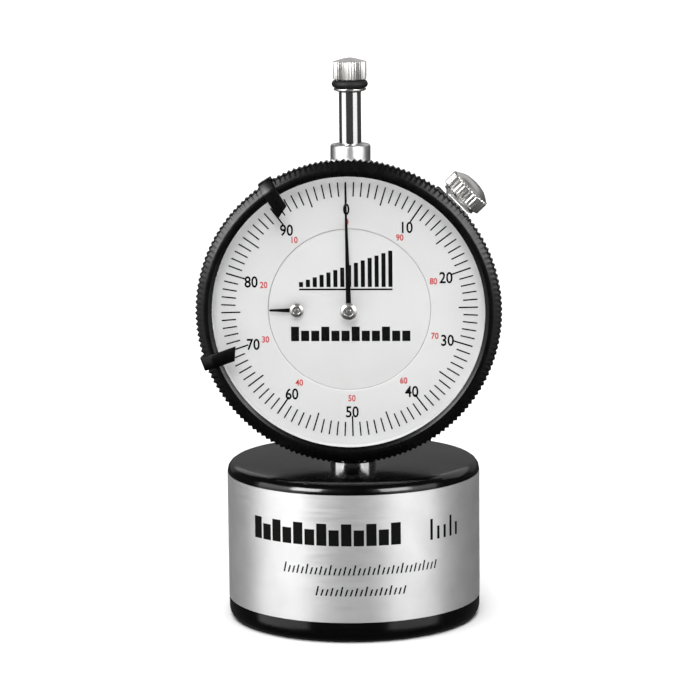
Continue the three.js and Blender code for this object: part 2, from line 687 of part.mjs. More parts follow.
// Flat spiral of thin ribbon that takes up the play between the gear teeth.
function hairspring() {
  const turns = 3.25;
  const inner = arborRadius + 0.5;
  const growth = 2.2 / turns;
  const steps = 40;
  const edge = (offset) => Array.from({ length: steps + 1 }, (_, i) => {
    const turn = turns * i / steps;
    const radius = inner + growth * turn + offset;
    return new THREE.Vector2(radius, 0).rotateAround(dialCentre, turn * 2 * Math.PI);
  });
  return plate(new THREE.Shape([...edge(0.06), ...edge(-0.06).reverse()]), transferBack, transferBack + 0.4);
}

function centreDial() {
  return cut(rod(CENTRE_DIAL_RADIUS, webFront + GLUE_GAP, centreDialFront, LARGE),
    pinHole(dialCentre, arborRadius + MOVING_GAP),
    pinHole(revArbor, arborRadius + MOVING_GAP));
}

const studPlace = takeUpArbor.clone().add(new THREE.Vector2(0, 3.9));
gauge.add(
  part("centre_dial", centreDial(), DIAL_WHITE()),
  part("front_plate", frontPlate(), BRASS()),
  part("bridge_plate", bridgePlate(), BRASS()),
  part("guide_bracket", guideBracket(), BRASS()),
  part("arbor_cock", arborCock(), BRASS()),
  part("hairspring", hairspring(), BLACK_SPRING(), takeUpArbor.x, takeUpArbor.y),
  part("hairspring_stud", rod(0.4, transferBack, plateBack - GLUE_GAP, 8), BRASS(), studPlace.x, studPlace.y),
);
pillarPlaces.forEach(({ x, y }, i) => {
  const geometry = rod(pillarRadius, bridgeFront + GLUE_GAP, plateBack - GLUE_GAP, TINY);
  gauge.add(part(`pillar_${i + 1}`, geometry, BRASS(), x, y));
});
plateScrewPlaces.forEach(({ x, y }, i) => {
  const geometry = slottedScrew(plateScrewRadius, 1.1, 0.45, PLATE_THICKNESS).translate(
    0, 0, plateBack - GLUE_GAP);
  gauge.add(part(`plate_screw_${i + 1}`, geometry, SATIN_STEEL(), x, y));
});

// ---- spindle and what rides on it
function spindleRod() {
  const teeth = RACK_TOOTH;
  const tip = -(rackLine + teeth.rise * rackModule);
  const root = -(rackLine - teeth.fall * rackModule);
  const above = Math.ceil((TRAVEL_DOWN + 2 * rackPitch) / rackPitch);
  const below = Math.ceil((TRAVEL_UP + 2 * rackPitch) / rackPitch);
  const outside = -SPINDLE_RADIUS - 1;
  const outline = [[outside, -below - 0.5], [root, -below - 0.5]];
  for (let tooth = -below; tooth <= above; tooth++) {
    outline.push([root, tooth - teeth.root], [tip, tooth - teeth.tip]);
    outline.push([tip, tooth + teeth.tip], [root, tooth + teeth.root]);
  }
  outline.push([root, above + 0.5], [outside, above + 0.5]);
  const shape = new THREE.Shape(outline.map(([x, pitches]) =>
    new THREE.Vector2(x, rackArbor.y + pitches * rackPitch)));
  const low = FOOT_HEIGHT + 2 + GLUE_GAP - DIAL_HEIGHT;
  const pinBore = rod(guidePinRadius + GLUE_GAP, -SPINDLE_RADIUS - 1, 1 - SPINDLE_RADIUS, TINY);
  return cut(alongY(rod(SPINDLE_RADIUS, low, spindleTop - GLUE_GAP, SMALL)),
    plate(shape, -SPINDLE_RADIUS - 1, SPINDLE_RADIUS + 1),
    pinBore.translate(0, guidePinHeight, 0));
}

function contactFoot() {
  return alongY(turned([
    [0, 0], [FOOT_RADIUS - 0.8, 0], [FOOT_RADIUS, 0.8], [FOOT_RADIUS, FOOT_HEIGHT - 0.4],
    [FOOT_RADIUS - 0.4, FOOT_HEIGHT], [SPINDLE_RADIUS, FOOT_HEIGHT], [SPINDLE_RADIUS, FOOT_HEIGHT + 2],
    [0, FOOT_HEIGHT + 2],
  ].map(([radius, height]) => [radius, height - DIAL_HEIGHT]), SMALL));
}

// Flange, neck for the ring, knurled grip and a low cone on top.
const flangeHeight = 0.75;
const neckHeight = 2 * O_RING_WIRE;
const oRingHeight = spindleTop + flangeHeight + neckHeight / 2;

function spindleCap() {
  const neckRadius = O_RING_RADIUS - 2 * O_RING_WIRE - GLUE_GAP;
  const neckLow = spindleTop + flangeHeight - GLUE_GAP;
  const gripLow = neckLow + neckHeight + 2 * GLUE_GAP;
  const gripHigh = gripLow + CAP_KNURL_HEIGHT;
  return alongY(turned([
    [0, spindleTop], [SPINDLE_RADIUS, spindleTop], [CAP_RADIUS - 0.1, spindleTop + 0.35],
    [CAP_RADIUS - 0.1, neckLow], [neckRadius, neckLow], [neckRadius, gripLow],
    [CAP_RADIUS, gripLow], [CAP_RADIUS, gripHigh], [CAP_RADIUS - 0.3, gripHigh + 0.1],
    [0.9, gripHigh + CAP_CONE_HEIGHT - 0.12], [0, gripHigh + CAP_CONE_HEIGHT],
  ], SMALL));
}

const collarHigh = springLow - GLUE_GAP;
gauge.add(
  part("spindle", spindleRod(), CHROME()),
  part("contact_foot", contactFoot(), SATIN_STEEL()),
  part("spindle_cap", spindleCap(), CHROME()),
  part("cap_o_ring", alongY(turnedRing(
    arc(O_RING_RADIUS - O_RING_WIRE, oRingHeight, O_RING_WIRE, 0, 300, 5), SMALL)), BLACK_RUBBER()),
  part("guide_pin", rod(
    guidePinRadius, -(SPINDLE_RADIUS + 2.2), 1 - SPINDLE_RADIUS - GLUE_GAP, TINY).translate(
    0, guidePinHeight, 0), SATIN_STEEL()),
  part("spring_collar", alongY(ring(
    SPINDLE_RADIUS + GLUE_GAP, SPINDLE_RADIUS + 1.2, collarHigh - 1, collarHigh, SMALL)), SATIN_STEEL()),
  part("return_spring", wire(
    new Helix(SPINDLE_RADIUS + 0.75, springLow + 0.25, springHigh - 0.25, 5), 0.24, 50), SATIN_STEEL()),
);

// ---- gear train
const handDepth = crystalBack - HAND_DROP;
const smallHandDepth = dialFront + 0.45;
const fineGear = { module: gearModule, tooth: FINE_TOOTH, teeth: DRIVE_TEETH };
const transferGear = {
  module: transferModule, tooth: FINE_TOOTH, teeth: TRANSFER_TEETH,
  low: transferBack, high: transferBack + GEAR_THICKNESS,
};

// Tapered hand pointing along +Y, with a round boss at its arbor.
function hand(length, tail, rootWidth, tipWidth, bossRadius, depth) {
  const blade = new THREE.Shape([
    new THREE.Vector2(-tipWidth / 2, length), new THREE.Vector2(-rootWidth / 2, 0),
    new THREE.Vector2(-rootWidth / 2, -tail), new THREE.Vector2(rootWidth / 2, -tail),
    new THREE.Vector2(rootWidth / 2, 0), new THREE.Vector2(tipWidth / 2, length),
  ]);
  const front = depth + HAND_THICKNESS;
  const flat = join(plate(blade, depth, front), rod(bossRadius, depth, front, TINY));
  return cut(flat, rod(arborRadius + GLUE_GAP, depth - 1, depth + 1, TINY));
}

function handHub(radius, height, depth) {
  const low = depth + HAND_THICKNESS + GLUE_GAP;
  return turned([[0, low], [radius, low], [radius, low + height * 0.3],
    [radius * 0.72, low + height * 0.75], [0, low + height]], TINY);
}

const longHand = hand(openingRadius - 1.5, 1.2, 1, 0.22, 1.5, handDepth);
const pointerHand = part("pointer_hand", longHand, HAND_BLACK());
pointerHand.rotation.z = degrees(READING_TURN);
const revHand = part("rev_hand", hand(5.4, 0.9, 0.58, 0.3, 1.1, smallHandDepth), HAND_BLACK(),
  revArbor.x, revArbor.y);
revHand.rotation.z = degrees(90);
gauge.add(
  part("centre_pinion", join(
    gear({ teeth: PINION_TEETH, module: gearModule, tooth: LEAF_TOOTH, phase: centrePhase,
      low: takeUpBack, high: driveBack + GEAR_THICKNESS }),
    rod(arborRadius, bridgeBack, handDepth + HAND_THICKNESS, TINY)), SATIN_STEEL()),
  pointerHand,
  part("pointer_hub", handHub(1.7, 0.55, handDepth), CHROME()),
  part("rack_pinion", join(
    gear({ teeth: RACK_PINION_TEETH, module: rackModule, tooth: RACK_TOOTH,
      phase: Math.PI / RACK_PINION_TEETH, low: -1.5, high: 1.5 }),
    rod(rackArborRadius, cockBack, plateBack + PLATE_THICKNESS, TINY)), SATIN_STEEL(),
    rackArbor.x, rackArbor.y),
  part("drive_gear", gear({ ...fineGear, phase: drivePhase, bore: rackArborRadius + GLUE_GAP,
    low: driveBack, high: driveBack + GEAR_THICKNESS }), BRASS(), rackArbor.x, rackArbor.y),
  part("transfer_gear", gear({ ...transferGear, phase: 0, bore: rackArborRadius + GLUE_GAP }),
    BRASS(), rackArbor.x, rackArbor.y),
  part("rev_gear", join(
    gear({ ...transferGear, phase: revPhase }),
    rod(arborRadius, transferBack, smallHandDepth + HAND_THICKNESS, TINY)), BRASS(), revArbor.x, revArbor.y),
  revHand,
  part("rev_hub", handHub(1.4, 0.45, smallHandDepth), CHROME(), revArbor.x, revArbor.y),
  part("take_up_gear", join(
    gear({ ...fineGear, phase: takeUpPhase, low: takeUpBack, high: takeUpBack + GEAR_THICKNESS }),
    rod(arborRadius, bridgeBack, plateBack + PLATE_THICKNESS, TINY)), BRASS(), takeUpArbor.x, takeUpArbor.y),
);

const tensionGauge = new THREE.Group();
tensionGauge.add(base, gauge);

export default tensionGauge;
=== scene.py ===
# %% [markdown]
# # A drum tension gauge, piece by piece
#
# The object is a round dial gauge on a short stem, standing in a heavy round base. A turning bezel carries the
# graduated ring of the dial, and a sprung spindle runs down through gauge, stem and base to a foot underneath.
#
# The engineering model is already there as a fixed frame: it says where each piece is and how it moves. This
# lesson puts the finished looks round it. Each new piece is a turned, bent or extruded shape made with mesh
# operators, it stands where its engineering piece stands, and it rides on the same body.

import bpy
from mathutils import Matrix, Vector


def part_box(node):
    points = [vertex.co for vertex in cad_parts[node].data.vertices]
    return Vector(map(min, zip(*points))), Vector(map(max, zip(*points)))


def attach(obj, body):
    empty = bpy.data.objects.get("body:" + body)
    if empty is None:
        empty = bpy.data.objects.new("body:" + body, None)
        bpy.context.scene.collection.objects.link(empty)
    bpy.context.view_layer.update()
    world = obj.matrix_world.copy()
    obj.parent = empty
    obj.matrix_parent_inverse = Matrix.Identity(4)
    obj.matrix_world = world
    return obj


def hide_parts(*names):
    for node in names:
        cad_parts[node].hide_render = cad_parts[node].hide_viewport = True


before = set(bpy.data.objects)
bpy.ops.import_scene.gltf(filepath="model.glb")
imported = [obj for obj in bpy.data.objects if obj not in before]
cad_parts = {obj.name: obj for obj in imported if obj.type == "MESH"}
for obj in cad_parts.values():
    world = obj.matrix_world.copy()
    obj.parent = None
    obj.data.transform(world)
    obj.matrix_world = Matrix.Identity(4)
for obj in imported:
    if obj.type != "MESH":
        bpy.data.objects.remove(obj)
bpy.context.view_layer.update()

# %% Libraries and the unit
import math

import bmesh
import bpy
from mathutils import Matrix, Quaternion, Vector

MM = 0.001  # shapes are drawn in millimetres and placed in metres
FULL_TURN = 2 * math.pi

# %% [markdown]
# ## Reading sizes from the frame
#
# A size that exists in the engineering model should be read from it, not typed again, because two copies of a
# number drift apart. The dial stands upright, so its pieces are drawn in a frame of their own: x to the right,
# y up, z towards the viewer, with the dial's centre as its origin. One matrix then places them all.

# %% Sizes and the dial's own frame
def spans(node):
    """A node's lowest and highest corners, in millimetres."""
    low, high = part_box(node)
    return low / MM, high / MM


bezel_low, bezel_high = spans("bezel")
bezel_radius = (bezel_high.x - bezel_low.x) / 2
dial_height = (bezel_low.z + bezel_high.z) / 2
UPRIGHT = Matrix.Identity(4)
DIAL = Matrix.Translation((0, 0, dial_height)) @ Matrix.Rotation(math.radians(90), 4, "X")


def depths(node):
    """How far behind and in front of the stem's axis a node lies, towards the viewer."""
    low, high = spans(node)
    return -high.y, -low.y


def half_width(node):
    low, high = spans(node)
    return (high.x - low.x) / 2


def dial_points(node):
    """A node's corners in the dial's frame, in millimetres."""
    back = DIAL.inverted()
    return [back @ (vertex.co / MM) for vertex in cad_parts[node].data.vertices]


def direction_of(node, beyond):
    """The angle at which a node's far end stands on the dial, anticlockwise from +x."""
    far = [point for point in dial_points(node) if math.hypot(point.x, point.y) > beyond]
    total = sum((point.xy for point in far), Vector((0, 0)))
    return math.atan2(total.y, total.x)


print(f"bezel radius {bezel_radius:.2f} mm, dial centre {dial_height:.2f} mm above the floor")

# %% [markdown]
# ## Turning on a lathe
#
# Nearly everything here was made on a lathe: base, stem, bezel, knob, cap and hubs. The same idea works in
# Blender. A half outline is drawn as a chain of a few corners, the corners that were broken on the real piece
# are rounded with a vertex bevel, and the chain is spun round z. Rounding the flat outline first is cheaper
# and cleaner than bevelling the finished solid.

# %% Outline and lathe
def round_off(bm, geom, offset, segments, affect="EDGES"):
    bmesh.ops.bevel(bm, geom=geom, offset=offset, offset_type="OFFSET", segments=segments, profile=0.5,
                    affect=affect, clamp_overlap=True, material=-1)


def draw_outline(bm, corners, closed=True):
    """Joins [radius, height] corners in the xz plane; a third number rounds that corner by as much."""
    verts = [bm.verts.new((corner[0], 0, corner[1])) for corner in corners]
    last = [verts[0]] if closed else []
    for pair in zip(verts, verts[1:] + last):
        bm.edges.new(pair)
    for vertex, corner in zip(verts, corners):
        if len(corner) > 2:
            round_off(bm, [vertex], corner[2], 4, "VERTICES")


def spin_round_z(bm, geom, steps, angle=FULL_TURN, merge=True):
    bmesh.ops.spin(bm, geom=geom, cent=(0, 0, 0), axis=(0, 0, 1), dvec=(0, 0, 0), angle=angle, steps=steps,
                   use_merge=merge, space=Matrix())


def turned(corners, steps=96, closed=True):
    """A turned solid round z. An outline that isn't closed starts and ends on the axis."""
    bm = bmesh.new()
    draw_outline(bm, corners, closed)
    spin_round_z(bm, bm.verts[:] + bm.edges[:], steps)
    bmesh.ops.remove_doubles(bm, verts=bm.verts, dist=1e-4)
    return bm


# %% [markdown]
# ## Grips
#
# The bezel's edge, the clamp knob and the spindle's cap have fine grooves to hold on to. A bump texture could
# only pretend, and the edge would stay smooth against the background. Here the turned solid gets several
# columns of vertices for each groove, and the columns in the groove sink towards the axis.

# %% Grooves
def cut_grooves(bm, count, depth, share, inside):
    """Sinks V grooves in a turned solid where inside(radius, height) gives a weight above zero."""
    for vertex in bm.verts:
        radius = math.hypot(vertex.co.x, vertex.co.y)
        weight = inside(radius, vertex.co.z)
        if weight <= 0 or radius == 0:
            continue
        phase = count * math.atan2(vertex.co.y, vertex.co.x) / FULL_TURN % 1
        from_floor = min(phase, 1 - phase) / share
        sink = depth * weight * max(0, 1 - from_floor)
        vertex.co.x *= (radius - sink) / radius
        vertex.co.y *= (radius - sink) / radius


# %% [markdown]
# ## Holes
#
# A cross hole in a round body, such as the set screw's, isn't a turned shape. The Boolean modifier cuts it
# from a closed tool shape. The result is taken as a plain mesh, so that nothing stays live on the piece.

# %% Carving
def carved(body, *tools):
    """Cuts the closed tool shapes out of the body, and returns what is left."""
    objects = []
    for bm in (body, *tools):
        bmesh.ops.recalc_face_normals(bm, faces=bm.faces)
        mesh = bpy.data.meshes.new("carving")
        bm.to_mesh(mesh)
        bm.free()
        objects.append(bpy.data.objects.new("carving", mesh))
        bpy.context.scene.collection.objects.link(objects[-1])
    for tool in objects[1:]:
        cut = objects[0].modifiers.new("cut", "BOOLEAN")
        cut.operation, cut.solver, cut.object = "DIFFERENCE", "EXACT", tool
    result = bmesh.new()
    result.from_object(objects[0], bpy.context.evaluated_depsgraph_get())
    for spare in objects:
        mesh = spare.data
        bpy.data.objects.remove(spare)
        bpy.data.meshes.remove(mesh)
    return result


def cylinder(radius, low, high, steps=48, place=UPRIGHT):
    bm = turned([[0, low], [radius, low], [radius, high], [0, high]], steps, closed=False)
    bmesh.ops.transform(bm, matrix=place, verts=bm.verts)
    return bm


# %% [markdown]
# ## From shape to piece
#
# Each finished shape goes through the same last steps: place it, turn its faces outwards, shade it smooth
# except at real edges, give it a finish, tell the frame which body it rides on, and hide the engineering
# piece it stands for. One function does this, so no step is forgotten.

# %% Finishing a piece
def make_piece(name, bm, place, body, finish, replaces=(), sharp=35):
    """Makes a shape a finished piece that rides on a body; sharp is the angle from which an edge shows."""
    bmesh.ops.transform(bm, matrix=Matrix.Scale(MM, 4) @ place, verts=bm.verts)
    bmesh.ops.remove_doubles(bm, verts=bm.verts, dist=1e-7)
    bmesh.ops.recalc_face_normals(bm, faces=bm.faces)
    open_edges = sum(1 for edge in bm.edges if len(edge.link_faces) != 2)
    mesh = bpy.data.meshes.new(name)
    bm.to_mesh(mesh)
    bm.free()
    mesh.shade_smooth()
    mesh.set_sharp_from_angle(angle=math.radians(sharp))
    mesh.materials.append(finish)
    piece = bpy.data.objects.new(name, mesh)
    bpy.context.scene.collection.objects.link(piece)
    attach(piece, body)
    if replaces:
        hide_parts(*replaces)
    print(f"{name}: {len(mesh.polygons)} faces, {open_edges} open edges, rides on {body}")


# %% [markdown]
# # Finishes
#
# A finish is a small network of nodes in front of the Principled shader. All patterns read Object coordinates,
# which are metres in the object's own space, so a scale of 1000 gives marks about a millimetre apart, and they
# stay in place when the piece moves. What is the same all over, such as metalness, is set on the shader.

# %% Node helpers
NOISE_LOW, NOISE_HIGH = 0.3, 0.7  # nearly all of a noise texture's values lie between these


def start_finish(name, **sockets):
    material = bpy.data.materials.new(name)
    material.use_nodes = True
    shader = material.node_tree.nodes["Principled BSDF"]
    for socket, value in sockets.items():
        shader.inputs[socket.replace("_", " ")].default_value = value
    return material, shader


def add_node(material, kind, sockets, **settings):
    node = material.node_tree.nodes.new(kind)
    for key, value in settings.items():
        setattr(node, key, value)
    for name, value in sockets.items():
        if isinstance(value, bpy.types.NodeSocket):
            material.node_tree.links.new(value, node.inputs[name])
        else:
            node.inputs[name].default_value = value
    return node


def connect(material, shader, colour, roughness, normal):
    """Feeds the three patterns to the shader, and returns the finished material."""
    for output, socket in ((colour, "Base Color"), (roughness, "Roughness"), (normal, "Normal")):
        material.node_tree.links.new(output, shader.inputs[socket])
    return material


def speckle(material, scale, detail=2, stretch=(1, 1, 1)):
    """Soft noise, about 1/scale metres from mark to mark; a stretch below one draws it out that way."""
    place = add_node(material, "ShaderNodeTexCoord", {}).outputs["Object"]
    mapping = add_node(material, "ShaderNodeMapping", {"Vector": place, "Scale": stretch})
    noise = {"Vector": mapping.outputs["Vector"], "Scale": scale, "Detail": detail}
    return add_node(material, "ShaderNodeTexNoise", noise).outputs["Fac"]


def lathe_lines(material, scale, centre, flat):
    """Fine rings about an axis: noise on the distance from it. flat is 0 along the axis and 1 across it."""
    place = add_node(material, "ShaderNodeTexCoord", {}).outputs["Object"]
    shift = [-c * f for c, f in zip(centre, flat)]
    mapping = add_node(material, "ShaderNodeMapping", {"Vector": place, "Location": shift, "Scale": flat})
    length = add_node(material, "ShaderNodeVectorMath", {0: mapping.outputs["Vector"]}, operation="LENGTH")
    noise = {"W": length.outputs["Value"], "Scale": scale, "Detail": 3}
    return add_node(material, "ShaderNodeTexNoise", noise, noise_dimensions="1D").outputs["Fac"]


def ranged(material, value, low, high):
    sockets = {"Value": value, "From Min": NOISE_LOW, "From Max": NOISE_HIGH, "To Min": low, "To Max": high}
    return add_node(material, "ShaderNodeMapRange", sockets).outputs["Result"]


def tinted(material, value, dark, light):
    ramp = add_node(material, "ShaderNodeValToRGB", {"Fac": value})
    for stop, position, tone in zip(ramp.color_ramp.elements, (NOISE_LOW, NOISE_HIGH), (dark, light)):
        stop.position, stop.color = position, (*tone, 1)
    return ramp.outputs["Color"]


def raised(material, height, distance, strength):
    sockets = {"Height": height, "Distance": distance, "Strength": strength}
    return add_node(material, "ShaderNodeBump", sockets).outputs["Normal"]


def grey(value):
    return (value, value, value)


# %% [markdown]
# ## Black enamel, black bezel and rubber
#
# The base and the case are sprayed with glossy black enamel. Sprayed paint is never a perfect mirror: it has
# the soft waviness called orange peel, a millimetre or so from crest to crest, and dulls a little here and
# there. The bezel is blacked metal that keeps the fine rings of the lathe, so it shines grey where it slopes
# to the light.

# %% Black finishes
def make_enamel():
    material, shader = start_finish("black_enamel_paint", Specular_IOR_Level=0.45)
    return connect(material, shader, tinted(material, speckle(material, 120), grey(0.0004), grey(0.001)),
                   ranged(material, speckle(material, 260, 4), 0.12, 0.2),
                   raised(material, speckle(material, 900, 3), 0.00003, 0.5))


def make_bezel_black():
    material, shader = start_finish("blacked_metal", Specular_IOR_Level=0.2)
    rings = lathe_lines(material, 7000, (0, 0, dial_height * MM), (1, 0, 1))
    return connect(material, shader, tinted(material, rings, grey(0.001), grey(0.003)),
                   ranged(material, speckle(material, 500, 4), 0.24, 0.32),
                   raised(material, rings, 0.000012, 0.5))


def make_rubber():
    material, shader = start_finish("black_rubber", Specular_IOR_Level=0.35)
    grain = speckle(material, 3500, 4)
    return connect(material, shader, tinted(material, grain, grey(0.003), grey(0.008)),
                   ranged(material, grain, 0.5, 0.68), raised(material, grain, 0.00002, 0.4))


enamel = make_enamel()
bezel_black = make_bezel_black()
rubber = make_rubber()
print("black finishes:", enamel.name, bezel_black.name, rubber.name)

# %% [markdown]
# ## Bright metals
#
# Chrome, nickel, satin steel and brass differ in colour and in how fine their marks are. Marks from turning
# run round the axis, so on an upright rod they are noise that changes quickly with height and slowly round it.
# They go in the bump at a few micrometres and in the roughness, and the mirror image breaks up only a little.

# %% Metal finishes
EVEN = (1, 1, 1)


def make_metal(name, dark, light, rough, marks, depth, stretch=(0.06, 0.06, 1), metallic=1.0):
    material, shader = start_finish(name, Metallic=metallic)
    fine = speckle(material, marks, 3, stretch)
    return connect(material, shader, tinted(material, speckle(material, 180, 3), dark, light),
                   ranged(material, fine, *rough), raised(material, fine, depth, 0.6))


chrome = make_metal("polished_chrome", grey(0.8), grey(0.88), (0.04, 0.09), 6000, 0.0000015)
nickel = make_metal("bright_nickel", (0.56, 0.55, 0.535), (0.64, 0.63, 0.615), (0.28, 0.36), 5000, 0.000002)
satin_steel = make_metal("satin_steel", grey(0.58), grey(0.66), (0.34, 0.42), 9000, 0.0000015)
brass = make_metal("lacquered_brass", (0.62, 0.43, 0.15), (0.72, 0.52, 0.2), (0.2, 0.32), 5000, 0.000005,
                   (1, 0.05, 1))
spring_steel = make_metal("blued_spring_steel", (0.16, 0.17, 0.2), (0.24, 0.25, 0.29), (0.25, 0.35), 4000,
                          0.000004, EVEN)
foil = make_metal("brushed_foil", grey(0.72), grey(0.8), (0.36, 0.46), 9000, 0.000004, (0.012, 0.012, 1), 0.82)
clip_black = make_metal("blacked_spring_steel", grey(0.016), grey(0.03), (0.26, 0.34), 3000, 0.000004, EVEN)
print("metal finishes ready")

# %% [markdown]
# ## Dial card, ink and window
#
# The dial is matt off-white lacquer on metal, with screen-printed ink a hundredth of a millimetre thick. The
# window is clear acrylic. A fully refracting window would need many light bounces to let the dial stay bright,
# so this one is a thin clear coat: almost transparent, with only its gloss left.

# %% Dial finishes
def make_painted(name, dark, light, rough, grain=2500, depth=0.000004, **sockets):
    material, shader = start_finish(name, **sockets)
    fine = speckle(material, grain, 3)
    return connect(material, shader, tinted(material, speckle(material, 90, 2), dark, light),
                   ranged(material, fine, *rough), raised(material, fine, depth, 0.4))


dial_white = make_painted("dial_lacquer", grey(0.78), grey(0.82), (0.42, 0.52), Specular_IOR_Level=0.4)
ink_black = make_painted("black_ink", grey(0.001), grey(0.002), (0.5, 0.6), Specular_IOR_Level=0.08)
ink_red = make_painted("red_ink", (0.6, 0.012, 0.01), (0.7, 0.02, 0.016), (0.45, 0.55),
                       Specular_IOR_Level=0.3)
hand_lacquer = make_painted("hand_lacquer", grey(0.001), grey(0.003), (0.3, 0.38), Specular_IOR_Level=0.15)
acrylic = make_painted("clear_acrylic", grey(0.015), grey(0.02), (0.02, 0.05), 300, 0.000001, Alpha=0.05,
                       IOR=1.49)
print("dial finishes ready")

# %% [markdown]
# # The base
#
# The base is one solid of revolution: rounded top and bottom edges, a shallow groove that the foil label lies
# in, and a stepped bore for stem and foot. The set screw's hole comes in from the back and is carved.

# %% Base body
base_high = spans("base_weight")[1]
label_low, label_high = spans("base_label")
screw_low, screw_high = spans("stem_set_screw")
base_radius, stem_radius = base_high.x, half_width("stem")
GLUE_GAP = 0.05
EDGE_ROUND = 1.9
GROOVE_DEPTH = 0.25
FOOT_BORE, FOOT_BORE_DEPTH = 6.35, 9.0
SET_SCREW_HOLE = 2.12
groove = base_radius - GROOVE_DEPTH
groove_low, groove_high = label_low.z - GLUE_GAP, label_high.z + GLUE_GAP
stem_bore = stem_radius + GLUE_GAP

base_shape = turned([
    [FOOT_BORE, 0, 0.3], [base_radius, 0, EDGE_ROUND], [base_radius, groove_low, 0.05], [groove, groove_low],
    [groove, groove_high], [base_radius, groove_high, 0.05], [base_radius, base_high.z, EDGE_ROUND],
    [stem_bore + 0.4, base_high.z, 0.15], [stem_bore, base_high.z - 0.4], [stem_bore, FOOT_BORE_DEPTH],
    [FOOT_BORE, FOOT_BORE_DEPTH],
], 192)
screw_height = (screw_low.z + screw_high.z) / 2
INTO_BACK = Matrix.Translation((0, 0, screw_height)) @ Matrix.Rotation(math.radians(-90), 4, "X")
screw_hole = cylinder(SET_SCREW_HOLE, stem_radius, base_radius + 1, place=INTO_BACK)
make_piece("base_body", carved(base_shape, screw_hole), UPRIGHT, "stand", enamel,
           ["base_weight"])

# %% [markdown]
# ## Foil label
#
# The label is thin brushed foil wrapped round the base, open at the back. A small upright rectangle is spun
# through a little less than a full turn, which gives the wall, its edges and its two ends in one go.

# %% Label foil
LABEL_GAP = 8.0
LABEL_THICKNESS = 0.25
FRONT = -math.pi / 2  # the angle of -y, where the viewer stands
label_radius = label_high.x
gap_angle = math.asin(LABEL_GAP / 2 / label_radius)


def wrapped_bar(bm, inner, outer, start, end, low, high, step=math.radians(2.5)):
    """A bar that lies round the z axis, between two angles from the front."""
    corners = [(inner, 0, low), (outer, 0, low), (outer, 0, high), (inner, 0, high)]
    verts = [bm.verts.new(corner) for corner in corners]
    face = bm.faces.new(verts)
    bmesh.ops.rotate(bm, cent=(0, 0, 0), matrix=Matrix.Rotation(FRONT + start, 3, "Z"), verts=verts)
    before = set(bm.verts)
    steps = max(1, round((end - start) / step))
    spin_round_z(bm, [face, *face.edges, *verts], steps, end - start, merge=False)
    return verts + [vertex for vertex in bm.verts if vertex not in before]


label_shape = bmesh.new()
wrapped_bar(label_shape, label_radius - LABEL_THICKNESS, label_radius, gap_angle - math.pi, math.pi - gap_angle,
            label_low.z, label_high.z, math.radians(2))
make_piece("label_foil", label_shape, UPRIGHT, "stand", foil, ["base_label"])

# %% [markdown]
# ## Print on the label
#
# A maker would print a name here. This part carries none: a row of bold blocks in the manner of a scale bar, a
# few thin strokes beside it and two rows of short slanted strokes stand in for print of the same size and
# weight. Each bar is wrapped round the label, so it follows the curve. In a row's record, start and end are
# degrees from the front, low and high are millimetres above the floor, and heights are shares taken in turn.

# %% Label print
INK = 0.02
HEADING = {"start": -47, "end": 25, "low": 19.5, "high": 23.9, "bars": 13}
HEADING.update(fill=0.82, heights=[1, 0.72], slant=0.0)
MARKS = {"start": 39, "end": 58.5, "low": 19.5, "high": 23.7, "bars": 5}
MARKS.update(fill=0.35, heights=[1, 0.62, 0.62], slant=0.0)
STROKES = [{"start": -30, "end": 43, "low": 13.7, "high": 15.7, "bars": 34},
           {"start": -14.5, "end": 27, "low": 9.5, "high": 11.4, "bars": 19}]
for row in STROKES:
    row.update(fill=0.34, heights=[1, 0.7, 0.7, 0.85, 0.7], slant=1.0)


def print_row(bm, row):
    """A row of bars of equal pitch."""
    low, heights = row["low"], row["heights"]
    pitch = (row["end"] - row["start"]) / row["bars"]
    slant = Matrix.Rotation(math.radians(row["slant"]), 3, "Z")
    for i in range(row["bars"]):
        start = math.radians(row["start"] + i * pitch)
        end = start + math.radians(pitch * row["fill"])
        high = low + (row["high"] - low) * heights[i % len(heights)]
        bar = wrapped_bar(bm, label_radius - INK, label_radius + INK, start, end, low, high)
        top = [vertex for vertex in bar if vertex.co.z > (low + high) / 2]
        bmesh.ops.rotate(bm, cent=(0, 0, 0), matrix=slant, verts=top)


label_print = bmesh.new()
for row in (HEADING, MARKS, *STROKES):
    print_row(label_print, row)
make_piece("label_print", label_print, UPRIGHT, "stand", ink_black)

# %% [markdown]
# ## Stem, set screw and foot
#
# The stem is a polished tube, and the foot a small turned disc that rests flush with the base's underside. The
# set screw has a hexagon socket: a six-sided tool shape is carved from its outer end.

# %% Stem
stem_low, stem_high = spans("stem")
STEM_WALL = 1.7
stem_shape = turned([
    [stem_radius - STEM_WALL, stem_low.z], [stem_radius, stem_low.z, 0.3], [stem_radius, stem_high.z],
    [stem_radius - STEM_WALL, stem_high.z],
], 128)
make_piece("stem_tube", stem_shape, UPRIGHT, "stand", chrome, ["stem"])

# %% Set screw
set_radius = (screw_high.x - screw_low.x) / 2
POINT_TAPER = 0.7
screw_shape = turned([
    [0, screw_low.y], [set_radius - POINT_TAPER, screw_low.y], [set_radius, screw_low.y + POINT_TAPER],
    [set_radius, screw_high.y, 0.2], [0, screw_high.y],
], 48, closed=False)
socket = cylinder(set_radius * 0.55, screw_high.y - 2, screw_high.y + 1, 6)
make_piece("set_screw", carved(screw_shape, socket), INTO_BACK, "stand", satin_steel,
           ["stem_set_screw"])

